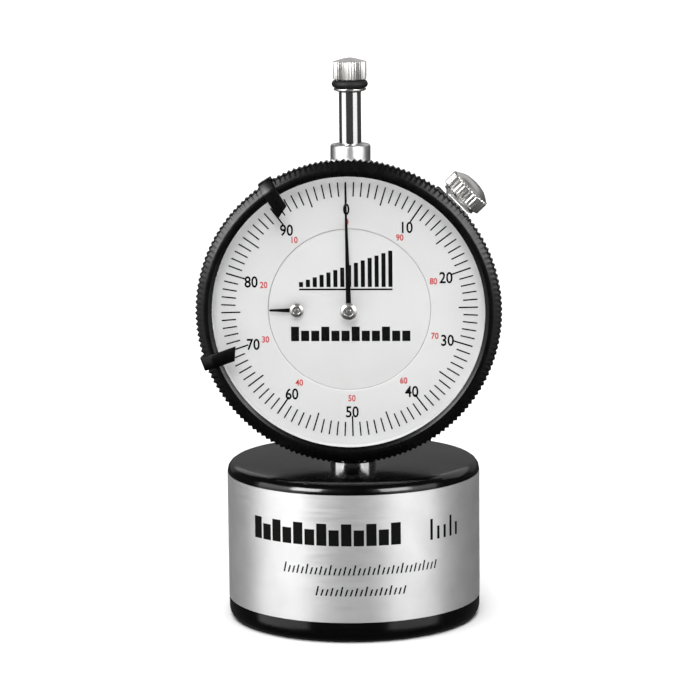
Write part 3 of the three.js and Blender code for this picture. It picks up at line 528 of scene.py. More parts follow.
# %% Contact foot
foot_high = spans("contact_foot")[1]
foot_radius, spindle_radius = half_width("contact_foot"), half_width("spindle")
FOOT_HEIGHT = 3.0
foot_shape = turned([
    [0, 0], [foot_radius, 0, 0.8], [foot_radius, FOOT_HEIGHT, 0.4], [spindle_radius, FOOT_HEIGHT, 0.15],
    [spindle_radius, foot_high.z], [0, foot_high.z],
], 96, closed=False)
make_piece("foot_disc", foot_shape, UPRIGHT, "spindle", satin_steel, ["contact_foot"])

# %% [markdown]
# # The case
#
# The case is a turned shell with a flat boss for the clamp. It is closed by a turned cover with four slotted
# screws. Nothing of the movement shows, so the shell is a plain wall with a rim in front that carries the
# centre of the dial. The bores for stem and collar are carved.

# %% Case shell
case_radius = half_width("case_body")
case_back, web_front = depths("case_body")
wire_depth = sum(depths("bezel_wire_ring")) / 2
CASE_WALL, WEB, WEB_OPENING, CASE_FRONT, RIM_STEP = 2.1, 0.7, 14.0, 8.25, 0.4
WIRE_HALF, CASE_WIRE_GROOVE = 0.5, 0.5
case_inner = case_radius - CASE_WALL
collar_radius = half_width("upper_collar")
case_wire_bed = case_radius - CASE_WIRE_GROOVE
wire_low, wire_high = wire_depth - WIRE_HALF, wire_depth + WIRE_HALF
case_shape = turned([
    [case_inner, case_back], [case_radius, case_back, 0.15], [case_radius, wire_low], [case_wire_bed, wire_low],
    [case_wire_bed, wire_high], [case_radius, wire_high], [case_radius, CASE_FRONT, 0.2],
    [case_inner + RIM_STEP, CASE_FRONT], [case_inner + RIM_STEP, web_front], [WEB_OPENING, web_front],
    [WEB_OPENING, web_front - WEB], [case_inner, web_front - WEB],
], 160)
ALONG_Y = Matrix.Rotation(math.radians(-90), 4, "X")
stem_hole = cylinder(stem_bore, -case_radius - 2, 2 - case_inner, place=ALONG_Y)
collar_hole = cylinder(collar_radius + GLUE_GAP, case_inner - 2, case_radius + 2, place=ALONG_Y)
make_piece("case_shell", carved(case_shape, stem_hole, collar_hole), DIAL, "stand", enamel,
           ["case_body"])

# %% [markdown]
# ## Clamp boss
#
# The boss is a block that stands up from the case, so that the clamp screw has a flat to bear on. It starts
# as a cube, its edges are bevelled, and its lower end lies in the case's wall.

# %% Clamp boss
knob_depth = sum(depths("clamp_knob")) / 2
clamp_angle = direction_of("clamp_knob", bezel_radius)
BOSS_WIDTH, BOSS_DEEP = 9.2, 8.8
BOSS_TOP = case_radius + 1
boss_low = case_inner + 1


def block(size, centre, edge_round):
    bm = bmesh.new()
    place = Matrix.Translation(centre) @ Matrix.Diagonal((*size, 1))
    bmesh.ops.create_cube(bm, size=1, matrix=place)
    round_off(bm, bm.edges[:], edge_round, 3)
    return bm


CLAMP = DIAL @ Matrix.Rotation(clamp_angle, 4, "Z") @ Matrix.Translation((0, 0, knob_depth))
boss_shape = block((BOSS_TOP - boss_low, BOSS_WIDTH, BOSS_DEEP), ((BOSS_TOP + boss_low) / 2, 0, 0), 0.4)
make_piece("clamp_boss", boss_shape, CLAMP, "stand", enamel)

# %% [markdown]
# ## Back cover
#
# The cover is a turned disc with a broken edge. A plain disc looks like a lid on a tin, so it also has the
# shallow turned recess that such covers have, where a maker's plate would lie.

# %% Back cover
cover_back, cover_front = depths("back_cover")
cover_radius = half_width("back_cover")
RECESS_RADIUS, RECESS = 17.0, 0.15
cover_shape = turned([
    [0, cover_back + RECESS], [RECESS_RADIUS, cover_back + RECESS, 0.1], [RECESS_RADIUS + 0.3, cover_back, 0.1],
    [cover_radius, cover_back, 0.8], [cover_radius, cover_front], [0, cover_front],
], 160, closed=False)
make_piece("cover_disc", cover_shape, DIAL, "stand", enamel, ["back_cover"])

# %% Cover screws
SCREW_HEAD, SCREW_SHANK, SCREW_LENGTH, HEAD_HEIGHT, SLOT = 2.1, 1.2, 5, 1.0, 0.6
for number in range(1, 5):
    low, high = spans(f"back_screw_{number}")
    back = -high.y
    head = turned([
        [0, back], [SCREW_HEAD, back, 0.3], [SCREW_HEAD, back + HEAD_HEIGHT], [SCREW_SHANK, back + HEAD_HEIGHT],
        [SCREW_SHANK, back + SCREW_LENGTH], [0, back + SCREW_LENGTH],
    ], 48, closed=False)
    slot_tool = block((SCREW_HEAD * 3, SLOT, 1.0), (0, 0, back), 0.01)
    place = DIAL @ Matrix.Translation(((low.x + high.x) / 2, (low.z + high.z) / 2 - dial_height, 0))
    turn = Matrix.Rotation(math.radians(35 + 50 * number), 4, "Z")
    make_piece(f"cover_screw_{number}", carved(head, slot_tool), place @ turn, "stand", satin_steel,
               [f"back_screw_{number}"])

# %% [markdown]
# # The bezel
#
# The bezel is the ring that is turned by hand. From the front it has a narrow bevel at the opening, a flat
# black face, and a smooth slope that ends in the knurled edge. It is one turned outline with four columns of
# vertices for each knurl tooth. The teeth are deepest at the rim and run out a little way up the slope.

# %% Bezel outline
skirt_back, rim_front = depths("bezel")
crystal_back, crystal_front = depths("crystal")
dial_back, dial_front = depths("dial_ring")
snap_back, snap_front = depths("dial_snap_ring")
seat_radius = half_width("crystal")
RIM_WIDTH, BAND_WIDTH, BAND_STEP, SKIRT_WALL = 3.35, 2.8, 0.95, 1.4
EDGE_BREAK, SLOPE_DROP, BAND_CHAMFER, RING_SEAT, BEZEL_WIRE_GROOVE = 0.12, 0.06, 0.25, 0.6, 0.95
opening = bezel_radius - RIM_WIDTH
skirt = bezel_radius - BAND_STEP
band_front = rim_front - 0.7
band_back = band_front - BAND_WIDTH
slope_start = opening + 1.7
lip_back = crystal_front + GLUE_GAP
KNURL_TEETH, KNURL_DEPTH, KNURL_WIDTH = 171, 0.42, 0.6
slope_run = (bezel_radius - KNURL_WIDTH - slope_start) / (bezel_radius - EDGE_BREAK - slope_start)
knurl_front = rim_front - SLOPE_DROP + slope_run * (band_front - rim_front + SLOPE_DROP)
skirt_inner = skirt - SKIRT_WALL
bezel_wire_bed = skirt - BEZEL_WIRE_GROOVE
ring_seat = seat_radius + RING_SEAT

bezel_shape = turned([
    [skirt_inner, skirt_back], [skirt, skirt_back, 0.2], [skirt, band_back - BAND_CHAMFER],
    [bezel_radius - BAND_CHAMFER, band_back], [bezel_radius, band_back + BAND_CHAMFER],
    [bezel_radius, band_front - EDGE_BREAK], [bezel_radius - EDGE_BREAK, band_front],
    [bezel_radius - KNURL_WIDTH, knurl_front], [slope_start, rim_front - SLOPE_DROP],
    [slope_start - EDGE_BREAK, rim_front], [opening + 0.75, rim_front, 0.1], [opening, rim_front - 0.5, 0.08],
    [opening, lip_back], [seat_radius + GLUE_GAP, lip_back], [seat_radius + GLUE_GAP, dial_back],
    [ring_seat, dial_back], [ring_seat, snap_back - GLUE_GAP], [skirt_inner, snap_back - GLUE_GAP],
    [skirt_inner, wire_high], [bezel_wire_bed, wire_high], [bezel_wire_bed, wire_low], [skirt_inner, wire_low],
], KNURL_TEETH * 4)


def knurl_weight(radius, height):
    if height < band_back - 0.2:
        return 0
    return min(1, max(0, (radius - bezel_radius + KNURL_WIDTH) / (KNURL_WIDTH / 2)))


cut_grooves(bezel_shape, KNURL_TEETH, KNURL_DEPTH, 0.5, knurl_weight)
make_piece("bezel_ring", bezel_shape, DIAL, "bezel", bezel_black, ["bezel"], sharp=28)

# %% [markdown]
# ## Window, gasket and rings in the bezel
#
# Behind the opening lie the window, a pale gasket and the dial's ring, held by a snap ring. All are flat
# turned rings. Small as they are, they close the gap between window and dial, which would otherwise let the
# light into the case.

# %% Window and gasket
crystal_shape = turned([
    [0, crystal_back], [seat_radius, crystal_back, 0.1], [seat_radius, crystal_front, 0.1], [0, crystal_front],
], 160, closed=False)
make_piece("window", crystal_shape, DIAL, "bezel", acrylic, ["crystal"])
gasket_back, gasket_front = depths("crystal_gasket")
gasket_shape = turned([
    [opening + 0.1, gasket_back, 0.2], [seat_radius, gasket_back], [seat_radius, gasket_front],
    [opening + 0.1, gasket_front, 0.2],
], 160)
make_piece("window_gasket", gasket_shape, DIAL, "bezel", dial_white, ["crystal_gasket"])

# %% Snap ring
snap_inner, snap_outer = seat_radius - 1.4, seat_radius + 0.5
snap_shape = turned([
    [snap_inner, snap_back, 0.1], [snap_outer, snap_back, 0.1], [snap_outer, snap_front, 0.1],
    [snap_inner, snap_front, 0.1],
], 160)
make_piece("snap_ring", snap_shape, DIAL, "bezel", satin_steel, ["dial_snap_ring"])

# %% [markdown]
# # The dial
#
# The dial has two parts: a graduated ring that turns with the bezel, and a centre disc, a little lower, that
# stays with the case. The step between them shows as a fine grey circle, so both edges get a small round.

# %% Dial ring and centre
centre_back, centre_front = depths("centre_dial")
centre_radius = half_width("centre_dial")
RING_GAP = 0.05
ring_shape = turned([
    [centre_radius + RING_GAP, dial_back], [seat_radius, dial_back], [seat_radius, dial_front],
    [centre_radius + RING_GAP, dial_front, 0.3],
], 160)
make_piece("dial_scale_ring", ring_shape, DIAL, "bezel", dial_white, ["dial_ring"])
centre_shape = turned([
    [0, centre_back], [centre_radius, centre_back], [centre_radius, centre_front, 0.08], [0, centre_front],
], 160, closed=False)
make_piece("dial_centre_disc", centre_shape, DIAL, "stand", dial_white, ["centre_dial"])

# %% [markdown]
# ## The scale
#
# A hundred divisions, one for each hundredth of a turn. Every fifth line is longer and every tenth is longest.
# One line is a thin block, and it is repeated by rotation. The zero isn't at the very top: it stands where the
# hand stands, because the user turns the bezel until they agree.

# %% Scale lines
pointer_angle = direction_of("pointer_hand", centre_radius)
zero_turn = pointer_angle - math.pi / 2
SCALE_OUTER = 25.35
LINE_WIDTH = {"short": 0.27, "five": 0.28, "ten": 0.3}
LINE_LENGTH = {"short": 2.85, "five": 3.8, "ten": 4.1}
scale_print = bmesh.new()
for division in range(100):
    kind = "ten" if division % 10 == 0 else "five" if division % 5 == 0 else "short"
    length, width = LINE_LENGTH[kind], LINE_WIDTH[kind]
    turn = Matrix.Rotation(zero_turn - FULL_TURN * division / 100, 4, "Z")
    centre = Matrix.Translation((0, SCALE_OUTER - length / 2, dial_front))
    size = Matrix.Diagonal((width, length, 2 * INK, 1))
    bmesh.ops.create_cube(scale_print, size=1, matrix=turn @ centre @ size)
print("scale lines:", len(scale_print.faces) // 6)

# %% [markdown]
# ## Numbers
#
# Blender's text object makes the numbers. It is turned into a mesh first and placed after, because a text
# object's own place would be lost in the export. A little thickness makes each digit a closed solid. The
# numbers stand upright all round, narrow, with a second, smaller red row that counts the other way.

# %% Numbers
BLACK_NUMBERS = {"height": 2.3, "radius": 20.2, "drop": 0.25}
RED_NUMBERS = {"height": 1.3, "radius": 17.6, "drop": 0.1}
NARROW, TEXT_EXTRUDE, TEXT_WEIGHT = 0.86, 0.01, 0.018


def text_shape(text, height):
    """A number as a bmesh, centred on the origin, with its foot on z = 0."""
    curve = bpy.data.curves.new("number", "FONT")
    curve.body, curve.extrude, curve.offset, curve.resolution_u = text, TEXT_EXTRUDE, TEXT_WEIGHT, 3
    writer = bpy.data.objects.new("number", curve)
    bpy.context.scene.collection.objects.link(writer)
    mesh = bpy.data.meshes.new_from_object(writer.evaluated_get(bpy.context.evaluated_depsgraph_get()))
    bm = bmesh.new()
    bm.from_mesh(mesh)
    bpy.data.objects.remove(writer)
    bpy.data.curves.remove(curve)
    bpy.data.meshes.remove(mesh)
    bmesh.ops.remove_doubles(bm, verts=bm.verts, dist=1e-5)
    xs, ys = [v.co.x for v in bm.verts], [v.co.y for v in bm.verts]
    middle = Vector(((min(xs) + max(xs)) / 2, (min(ys) + max(ys)) / 2, 0))
    scale = height / (max(ys) - min(ys))
    size = Matrix.Diagonal((scale * NARROW, scale, INK / TEXT_EXTRUDE, 1))
    bmesh.ops.transform(bm, matrix=size @ Matrix.Translation(-middle), verts=bm.verts)
    return bm


def add_number(target, text, row, division):
    digits = text_shape(text, row["height"])
    angle = pointer_angle - FULL_TURN * division / 100
    centre = Vector((math.cos(angle), math.sin(angle), 0)) * row["radius"]
    centre.y -= row["drop"]
    centre.z = dial_front
    bmesh.ops.transform(digits, matrix=Matrix.Translation(centre), verts=digits.verts)
    mesh = bpy.data.meshes.new("number")
    digits.to_mesh(mesh)
    digits.free()
    target.from_mesh(mesh)
    bpy.data.meshes.remove(mesh)


red_print = bmesh.new()
for tens in range(10):
    add_number(scale_print, str(tens * 10), BLACK_NUMBERS, tens * 10)
    add_number(red_print, str((10 - tens) % 10 * 10), RED_NUMBERS, tens * 10)
make_piece("scale_print", scale_print, DIAL, "bezel", ink_black)
make_piece("scale_print_red", red_print, DIAL, "bezel", ink_red)

# %% [markdown]
# ## Print at the centre
#
# The centre would carry a maker's sign. Here it has a plain sign of what the gauge measures: a wedge of bars
# that grow from slack to tight, and under the hub a bold scale bar. Both are rows of thin blocks.

# %% Centre print
WEDGE = {"start": -9.9, "end": 9.1, "foot": 4.5, "bars": 14, "low": 1.0, "high": 7.2, "fill": 0.6}
RULE_FOOT, RULE_TOP = 0.65, 0.3  # the line under the wedge, below the wedge's foot
SCALE_BAR = {"start": -11.6, "end": 12.4, "foot": -6.3, "bars": 12, "low": 0.72, "height": 2.9, "fill": 0.8}


def add_bar(bm, left, right, foot, top, depth):
    size = (right - left, top - foot, 2 * INK, 1)
    centre = Matrix.Translation(((left + right) / 2, (foot + top) / 2, depth))
    bmesh.ops.create_cube(bm, size=1, matrix=centre @ Matrix.Diagonal(size))


centre_print = bmesh.new()
pitch = (WEDGE["end"] - WEDGE["start"]) / WEDGE["bars"]
for i in range(WEDGE["bars"]):
    left = WEDGE["start"] + i * pitch
    top = WEDGE["foot"] + WEDGE["low"] + (WEDGE["high"] - WEDGE["low"]) * i / (WEDGE["bars"] - 1)
    add_bar(centre_print, left, left + pitch * WEDGE["fill"], WEDGE["foot"], top, centre_front)
add_bar(centre_print, WEDGE["start"], WEDGE["end"] - pitch * (1 - WEDGE["fill"]), WEDGE["foot"] - RULE_FOOT,
        WEDGE["foot"] - RULE_TOP, centre_front)
pitch = (SCALE_BAR["end"] - SCALE_BAR["start"]) / SCALE_BAR["bars"]
for i in range(SCALE_BAR["bars"]):
    left = SCALE_BAR["start"] + i * pitch
    top = SCALE_BAR["foot"] + SCALE_BAR["height"] * (1 if i % 3 == 0 else SCALE_BAR["low"])
    add_bar(centre_print, left, left + pitch * SCALE_BAR["fill"], SCALE_BAR["foot"], top, centre_front)
make_piece("centre_print", centre_print, DIAL, "stand", ink_black)

# %% [markdown]
# # The hands
#
# Each hand is stamped from thin sheet: a round boss with a blade that runs to a point. It starts as a filled
# circle. The edges of the circle that face outwards are extruded and drawn in to make the blade, and the flat
# shape is then given its thickness. The bright hub on top is a turned button with a cup and the arbor's end.

# %% Hands
LONG_HAND = {"boss": 1.5, "boss_steps": 36, "root_width": 1.03, "tip_width": 0.22}
SMALL_HAND = {"boss": 1.1, "boss_steps": 16, "root_width": 0.86, "tip_width": 0.4}


def thicken(bm, vec):
    """Gives a flat shape its thickness, by moving a copy of its faces and closing the edge."""
    grown = bmesh.ops.extrude_face_region(bm, geom=bm.faces[:])["geom"]
    far = [item for item in grown if isinstance(item, bmesh.types.BMVert)]
    bmesh.ops.translate(bm, vec=vec, verts=far)


def blade(bm, rim, length, tip_width):
    """Draws the chosen edges of the boss out to a point at that length."""
    root = max(abs(vertex.co.x) for edge in rim for vertex in edge.verts)
    drawn = bmesh.ops.extrude_edge_only(bm, edges=rim)["geom"]
    for vertex in (item for item in drawn if isinstance(item, bmesh.types.BMVert)):
        vertex.co.x *= tip_width / 2 / root
        vertex.co.y = length


def make_hand(name, node, body, length, place, boss, boss_steps, root_width, tip_width):
    back, front = depths(node)
    bm = bmesh.new()
    bmesh.ops.create_circle(bm, cap_ends=True, segments=boss_steps, radius=boss)
    reach = root_width / 2 + 0.03
    rim = [e for e in bm.edges if all(v.co.y > 0 and abs(v.co.x) < reach for v in e.verts)]
    blade(bm, rim, length, tip_width)
    thicken(bm, (0, 0, front - back))
    bmesh.ops.translate(bm, vec=(0, 0, back), verts=bm.verts)
    make_piece(name, bm, DIAL @ place, body, hand_lacquer, [node])


def make_hub(name, node, body, radius, place):
    back, front = depths(node)
    height = front - back
    cup = radius * 0.56
    button = turned([
        [0, back], [radius, back, 0.05], [radius, back + height * 0.35, 0.12],
        [cup + 0.12, front, 0.1], [cup, front - 0.02, 0.03], [cup - 0.06, front - height * 0.85, 0.05],
        [radius * 0.3, front - height * 0.85, 0.03], [radius * 0.28, front - height * 0.22, 0.08],
        [0, front - height * 0.22],
    ], 64, closed=False)
    make_piece(name, button, DIAL @ place, body, nickel, [node])


hub_low, hub_high = spans("rev_hub")
small_centre = Matrix.Translation(((hub_low.x + hub_high.x) / 2, (hub_low.z + hub_high.z) / 2 - dial_height, 0))
pointer_length = max(point.xy.length for point in dial_points("pointer_hand"))
small_length = max((point - small_centre.translation).xy.length for point in dial_points("rev_hand"))
make_hand("long_hand", "pointer_hand", "pointer", pointer_length, Matrix.Rotation(zero_turn, 4, "Z"),
          **LONG_HAND)
make_hand("small_hand", "rev_hand", "rev_hand", small_length,
          small_centre @ Matrix.Rotation(math.radians(90), 4, "Z"), **SMALL_HAND)
make_hub("long_hand_hub", "pointer_hub", "pointer", half_width("pointer_hub"), UPRIGHT)
make_hub("small_hand_hub", "rev_hub", "rev_hand", half_width("rev_hub"), small_centre)

# %% [markdown]
# # Limit clips
#
# Two clips of black spring steel sit on the bezel's edge and mark a range. Each is a strip that is bent over
# the rim and hooked under the knurled band. The bent outline, with rounded bends, is filled and extruded to
# the strip's width. One side of the inner end is drawn back, which makes the slanting pointer.

# %% Clips
CLIP_WIDTH, CLIP_THICKNESS, CLIP_GAP, CLIP_REACH, CLIP_BEVEL = 2.7, 0.45, 0.08, 7.1, 1.15


def bent_strip(corners, width):
    """A strip as wide as that; the corners outline its side view."""
    bm = bmesh.new()
    draw_outline(bm, corners)
    bmesh.ops.contextual_create(bm, geom=bm.edges[:])
    bmesh.ops.translate(bm, vec=(0, -width / 2, 0), verts=bm.verts)
    thicken(bm, (0, width, 0))
    return bm


def make_clip(name, node, body, pointed_side):
    outer = bezel_radius + CLIP_GAP
    front = rim_front + CLIP_GAP
    tip = bezel_radius - CLIP_REACH
    under = band_back - CLIP_GAP
    bm = bent_strip([
        [skirt + 0.25, under - CLIP_THICKNESS, 0.1], [outer + CLIP_THICKNESS, under - CLIP_THICKNESS, 0.4],
        [outer + CLIP_THICKNESS, band_front, 0.4], [slope_start, front + CLIP_THICKNESS, 0.5],
        [tip, front + CLIP_THICKNESS, 0.08], [tip, front], [slope_start, front, 0.4],
        [outer, band_front, 0.15], [outer, under, 0.1], [skirt + 0.25, under],
    ], CLIP_WIDTH)
    for vertex in bm.verts:
        if vertex.co.x < tip + CLIP_THICKNESS and vertex.co.y * pointed_side < 0:
            vertex.co.x += CLIP_BEVEL
    place = DIAL @ Matrix.Rotation(direction_of(node, bezel_radius), 4, "Z")
    corners = [edge for edge in bm.edges if edge.calc_face_angle(0) > math.radians(60)]
    round_off(bm, corners, 0.05, 2)
    make_piece(name, bm, place, body, clip_black, [node])


make_clip("upper_marker", "limit_clip_upper", "upper_clip", 1)
make_clip("lower_marker", "limit_clip_lower", "lower_clip", -1)

# %% [markdown]
# # The bezel clamp
#
# A knurled knob draws a small shoe against the bezel's skirt. The knob is turned, with straight grooves for
# the fingers and a low dome on its end. The shoe is a bent plate. Its side view is drawn and made solid like a
# clip's, and the hole for the screw is carved.

# %% Clamp knob
def reach_along(node, angle):
    """How far a node reaches from the dial's centre in that direction: nearest and farthest."""
    unit = Vector((math.cos(angle), math.sin(angle)))
    distances = [point.xy.dot(unit) for point in dial_points(node)]
    return min(distances), max(distances)


KNOB_RADIUS, KNOB_NECK, NECK_LENGTH, GRIP_LENGTH, KNOB_DOME, CLAMP_SCREW = 4.6, 3.8, 0.7, 3.0, 1.35, 1.25
KNOB_GROOVES = 32
screw_end, knob_end = reach_along("clamp_knob", clamp_angle)
grip_high = knob_end - KNOB_DOME
grip_low = grip_high - GRIP_LENGTH
neck_low = grip_low - NECK_LENGTH
knob_shape = turned([
    [0, screw_end], [CLAMP_SCREW, screw_end, 0.2], [CLAMP_SCREW, neck_low], [KNOB_NECK, neck_low, 0.1],
    [KNOB_NECK, grip_low, 0.1], [KNOB_RADIUS, grip_low + 0.1, 0.25], [KNOB_RADIUS, grip_high - 0.1, 0.25],
    [KNOB_RADIUS - 0.5, grip_high + 0.1, 0.2], [KNOB_RADIUS * 0.62, grip_high + KNOB_DOME * 0.72, 0.9],
    [KNOB_RADIUS * 0.3, knob_end - 0.06, 0.8], [0, knob_end],
], KNOB_GROOVES * 6, closed=False)


def grip_weight(radius, height):
    return 1 if grip_low < height < grip_high + 0.05 and radius > KNOB_RADIUS - 0.3 else 0


cut_grooves(knob_shape, KNOB_GROOVES, 0.28, 0.34, grip_weight)
ONTO_X = Matrix.Rotation(math.radians(90), 4, "Y")
make_piece("knob", knob_shape, CLAMP @ ONTO_X, "clamp_knob", nickel, ["clamp_knob"])

# %% Clamp shoe
SHOE_WIDTH, TOE_THICKNESS, WASHER_THICKNESS, SCREW_GAP = 5.6, 0.8, 1.0, 0.12
shoe_high = reach_along("clamp_shoe", clamp_angle)[1]
shoe_back, shoe_front = (depth - knob_depth for depth in depths("clamp_shoe"))
washer_front = skirt_back - 0.3 - knob_depth
washer_low = shoe_high - WASHER_THICKNESS
toe_low = skirt + 0.1
print(f"shoe from {washer_low:.2f} to {shoe_high:.2f} mm, toe from {toe_low:.2f} mm")
shoe_shape = bent_strip([
    [washer_low, shoe_back, 0.1], [shoe_high, shoe_back, 0.25], [shoe_high, washer_front, 0.15],
    [toe_low + TOE_THICKNESS, washer_front, 0.1], [toe_low + TOE_THICKNESS, shoe_front, 0.2],
    [toe_low, shoe_front, 0.1], [toe_low, washer_front - 1], [washer_low, washer_front - 1],
], SHOE_WIDTH)
screw_tool = cylinder(CLAMP_SCREW + SCREW_GAP, washer_low - 1, shoe_high + 1, place=ONTO_X)
make_piece("shoe_plate", carved(shoe_shape, screw_tool), CLAMP, "clamp_shoe", satin_steel,
           ["clamp_shoe"])

# %% [markdown]
# # Collar, spindle and cap
#
# Above the case the spindle comes out of a satin collar and ends in a knurled cap with a rubber ring under its
# grip. The spindle is a polished rod. Where it is hidden in the case it has a rack: rings of vertices stand at
# each tooth's corners, and whatever lies beyond the tooth line is pushed back to it, as a milling cutter would.

# %% Collar
collar_low, collar_high = spans("upper_collar")
COLLAR_BORE = collar_radius - 0.95
collar_shape = turned([
    [COLLAR_BORE, collar_low.z], [collar_radius, collar_low.z], [collar_radius, collar_high.z, 0.5],
    [COLLAR_BORE, collar_high.z, 0.12],
], 128)
make_piece("collar", collar_shape, UPRIGHT, "stand", satin_steel, ["upper_collar"])

# %% Spindle
spindle_low, spindle_high = spans("spindle")
RACK_PITCH = 1.27
RACK_TIP_SHARE, RACK_ROOT_SHARE, RACK_RISE, RACK_FALL, RACK_DEPTH = 0.08, 0.26, 0.65, 0.95, 0.45
TEETH_BELOW, TEETH_ABOVE, RACK_END = 3, 6, 0.02
rack_module = RACK_PITCH / math.pi
rack_line = spindle_radius - RACK_DEPTH
rack_tip = rack_line + RACK_RISE * rack_module
rack_root = rack_line - RACK_FALL * rack_module
pinion_low, pinion_high = spans("rack_pinion")
rack_height = (pinion_low.z + pinion_high.z) / 2

levels = [(spindle_low.z, None), (rack_height - (TEETH_BELOW + 0.5) * RACK_PITCH, rack_root)]
for tooth in range(-TEETH_BELOW, TEETH_ABOVE + 1):
    for share, limit in ((-RACK_ROOT_SHARE, rack_root), (-RACK_TIP_SHARE, rack_tip),
                         (RACK_TIP_SHARE, rack_tip), (RACK_ROOT_SHARE, rack_root)):
        levels.append((rack_height + (tooth + share) * RACK_PITCH, limit))
levels.append((rack_height + (TEETH_ABOVE + 0.5) * RACK_PITCH, rack_root))
levels.insert(1, (levels[1][0] - RACK_END, None))
levels += [(levels[-1][0] + RACK_END, None), (spindle_high.z, None)]
rod = turned([[0, spindle_low.z], *([spindle_radius, level[0]] for level in levels), [0, spindle_high.z]],
             closed=False)
cut_at = {round(height, 4): limit for height, limit in levels if limit}
for vertex in rod.verts:
    limit = cut_at.get(round(vertex.co.z, 4))
    if limit and vertex.co.x < -limit:
        vertex.co.x = -limit
make_piece("spindle_rod", rod, UPRIGHT, "spindle", chrome, ["spindle"])

# %% Spindle cap
cap_low, cap_high = spans("spindle_cap")
CAP_GRIP, CAP_CONE, CAP_FLANGE, CAP_NECK = 3.5, 0.8, 0.7, 1.87
CAP_GROOVES = 32
cap_radius = half_width("spindle_cap")
cap_grip_high = cap_high.z - CAP_CONE
cap_grip_low = cap_grip_high - CAP_GRIP
cap_shape = turned([
    [0, cap_low.z], [spindle_radius, cap_low.z], [cap_radius - 0.1, cap_low.z + 0.35, 0.12],
    [cap_radius - 0.1, cap_low.z + CAP_FLANGE, 0.1], [CAP_NECK, cap_low.z + CAP_FLANGE],
    [CAP_NECK, cap_grip_low], [cap_radius, cap_grip_low, 0.15], [cap_radius, cap_grip_high, 0.12],
    [cap_radius - 0.3, cap_grip_high + 0.1, 0.08], [0.9, cap_high.z - 0.1, 0.3], [0, cap_high.z],
], CAP_GROOVES * 6, closed=False)


def cap_weight(radius, height):
    return 1 if cap_grip_low < height < cap_grip_high and radius > cap_radius - 0.2 else 0


cut_grooves(cap_shape, CAP_GROOVES, 0.22, 0.4, cap_weight)
make_piece("cap", cap_shape, UPRIGHT, "spindle", nickel, ["spindle_cap"])

# %% Rubber ring
ring_radius = half_width("cap_o_ring")
ring_middle = cap_low.z + CAP_FLANGE + 0.05 + (cap_grip_low - cap_low.z - CAP_FLANGE - 0.1) / 2
RING_WIRE = 0.82
ring_bm = bmesh.new()
bmesh.ops.create_circle(ring_bm, cap_ends=False, segments=20, radius=RING_WIRE)
stand_up = Matrix.Rotation(math.radians(90), 3, "X")
bmesh.ops.rotate(ring_bm, cent=(0, 0, 0), matrix=stand_up, verts=ring_bm.verts)
bmesh.ops.translate(ring_bm, vec=(ring_radius - RING_WIRE, 0, ring_middle), verts=ring_bm.verts)
spin_round_z(ring_bm, ring_bm.verts[:] + ring_bm.edges[:], 96)
make_piece("cap_ring", ring_bm, UPRIGHT, "spindle", rubber, ["cap_o_ring"])

# %% [markdown]
# # The movement
#
# Plates, gears and springs are closed in by the case. Their engineering shapes are right as they are, so they
# stay, and only their finishes change: brass for plates and wheels, steel for arbors and screws, blued steel
# for springs.

# %% Finishes of the movement
FINISH_OF_SLOT = {"brass": brass, "satin_steel": satin_steel, "spring_steel": spring_steel}
for name, node in sorted(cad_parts.items()):
    if node.hide_render:
        continue
    for index, old in enumerate(node.data.materials):
        node.data.materials[index] = FINISH_OF_SLOT[old.name.split(".")[0]]
    print("kept:", name, "in", node.data.materials[0].name)

# %% [markdown]
# # Camera, floor and light
#
# The camera stands 0.6 m away, a little above the dial and a few degrees to the right, with a long lens. The
# floor is plain and white. Softboxes stand left, right and behind with darkness between them: polished rods
# need that, because chrome shows only what is around it, here bright bands with a dark middle.

# %% Camera
AIM = Vector((-0.46, 0, 53.95)) * MM
DISTANCE, ELEVATION, AZIMUTH, ROLL = 604.1 * MM, math.radians(9.546), math.radians(3.05), math.radians(-0.546)
camera_data = bpy.data.cameras.new("camera")
camera_data.lens, camera_data.sensor_width = 154.66, 36.0
camera_data.clip_start, camera_data.clip_end = 0.01, 50.0
camera = bpy.data.objects.new("camera", camera_data)
bpy.context.scene.collection.objects.link(camera)
out = Vector((math.sin(AZIMUTH) * math.cos(ELEVATION), -math.cos(AZIMUTH) * math.cos(ELEVATION),
              math.sin(ELEVATION)))
camera.location = AIM + out * DISTANCE
camera.rotation_mode = "QUATERNION"
camera.rotation_quaternion = (-out).to_track_quat("-Z", "Y") @ Quaternion((0, 0, 1), ROLL)
bpy.context.scene.camera = camera
print("camera at", [round(c, 3) for c in camera.location])

# %% [markdown]
# ## Floor
#
# A plain matt white floor catches the soft shadow under the base. It is a large flat grid. It doesn't show in
# reflections, as if the gauge had been shot on a light table: a white floor mirrored in black enamel would turn
# it grey. It casts no shadow either, so the low softboxes, which stand below the floor's level, still reach
# the object.

# %% Floor
floor_finish, floor_shader = start_finish("floor_paper", Specular_IOR_Level=0.0, Roughness=1.0)
floor_tone = tinted(floor_finish, speckle(floor_finish, 6, 2), grey(0.88), grey(0.9))
floor_finish.node_tree.links.new(floor_tone, floor_shader.inputs["Base Color"])
floor_bm = bmesh.new()
bmesh.ops.create_grid(floor_bm, x_segments=8, y_segments=8, size=8)
floor_mesh = bpy.data.meshes.new("floor")
floor_bm.to_mesh(floor_mesh)
floor_bm.free()
floor_mesh.materials.append(floor_finish)
floor = bpy.data.objects.new("floor", floor_mesh)
floor.location.z = -0.0001
floor.visible_glossy = False
floor.visible_shadow = False
bpy.context.scene.collection.objects.link(floor)

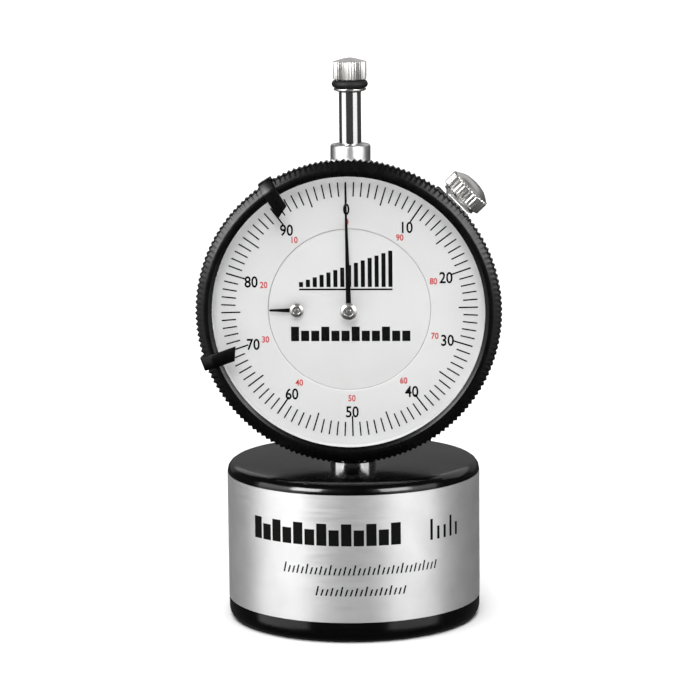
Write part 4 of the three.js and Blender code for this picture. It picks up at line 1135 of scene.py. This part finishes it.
# %% [markdown]
# ## Light
#
# The work is split in two, so that each part can be set alone. The softboxes are rectangles aimed at the dial
# and are seen only in reflections: they shape enamel, foil and steel. Two of them, the keys, are small and
# strong and make the highlights. Two suns light the matt surfaces and never show as a highlight: a wide one
# from above for floor and shadow, and a narrower one from the front for the dial. The world gives the rest,
# dim for the object and white where the camera sees past the floor.

# %% Softboxes and suns
def softbox(name, azimuth, elevation, distance, width, height, brightness):
    """A light that spans width by height, in degrees, seen from the object."""
    data = bpy.data.lights.new(name, "AREA")
    data.shape = "RECTANGLE"
    data.size = 2 * distance * math.tan(math.radians(width / 2))
    data.size_y = 2 * distance * math.tan(math.radians(height / 2))
    data.energy = brightness * math.pi * data.size * data.size_y
    light = bpy.data.objects.new(name, data)
    a, e = math.radians(azimuth), math.radians(elevation)
    aim = Vector((math.sin(a) * math.cos(e), -math.cos(a) * math.cos(e), math.sin(e)))
    light.location = Vector((0, 0, 0.06)) + aim * distance
    light.rotation_mode = "QUATERNION"
    light.rotation_quaternion = (-aim).to_track_quat("-Z", "Y")
    light.visible_camera = False
    light.visible_diffuse = False
    bpy.context.scene.collection.objects.link(light)


softbox("card_left", -66, -12, 0.6, 52, 26, 1.15)
softbox("card_right", 58, -12, 0.6, 48, 26, 1.0)
softbox("glow_left", -68, 14, 0.6, 48, 26, 2.3)
softbox("glow_right", 61, 14, 0.6, 44, 26, 1.9)
softbox("key_left", -42, 22, 0.8, 26, 26, 19.0)
softbox("key_right", 42, 22, 0.8, 26, 26, 12.0)
softbox("back_wall", 180, 14, 2.0, 80, 24, 0.14)
softbox("back_high", 165, 36, 1.2, 90, 30, 0.7)


def sun(name, tilt, lean, strength, softness):
    """Even light, tilted from straight above towards the viewer; it doesn't show as a highlight."""
    data = bpy.data.lights.new(name, "SUN")
    data.energy, data.angle = strength, math.radians(softness)
    light = bpy.data.objects.new(name, data)
    light.rotation_euler = (math.radians(tilt), math.radians(lean), 0)
    light.visible_glossy = False
    bpy.context.scene.collection.objects.link(light)


sun("ceiling", 6, -3, 3.6, 70)
sun("front_light", 52, 0, 1.45, 22)

# %% World
world = bpy.data.worlds.new("studio")
bpy.context.scene.world = world
world.use_nodes = True
background = world.node_tree.nodes["Background"]
ray = world.node_tree.nodes.new("ShaderNodeLightPath")
strength = world.node_tree.nodes.new("ShaderNodeMapRange")
strength.inputs["To Min"].default_value, strength.inputs["To Max"].default_value = 0.05, 1.0
background.inputs["Color"].default_value = (1, 1, 1, 1)
world.node_tree.links.new(ray.outputs["Is Camera Ray"], strength.inputs["Value"])
world.node_tree.links.new(strength.outputs["Result"], background.inputs["Strength"])
bpy.context.scene.view_settings.view_transform = "Standard"
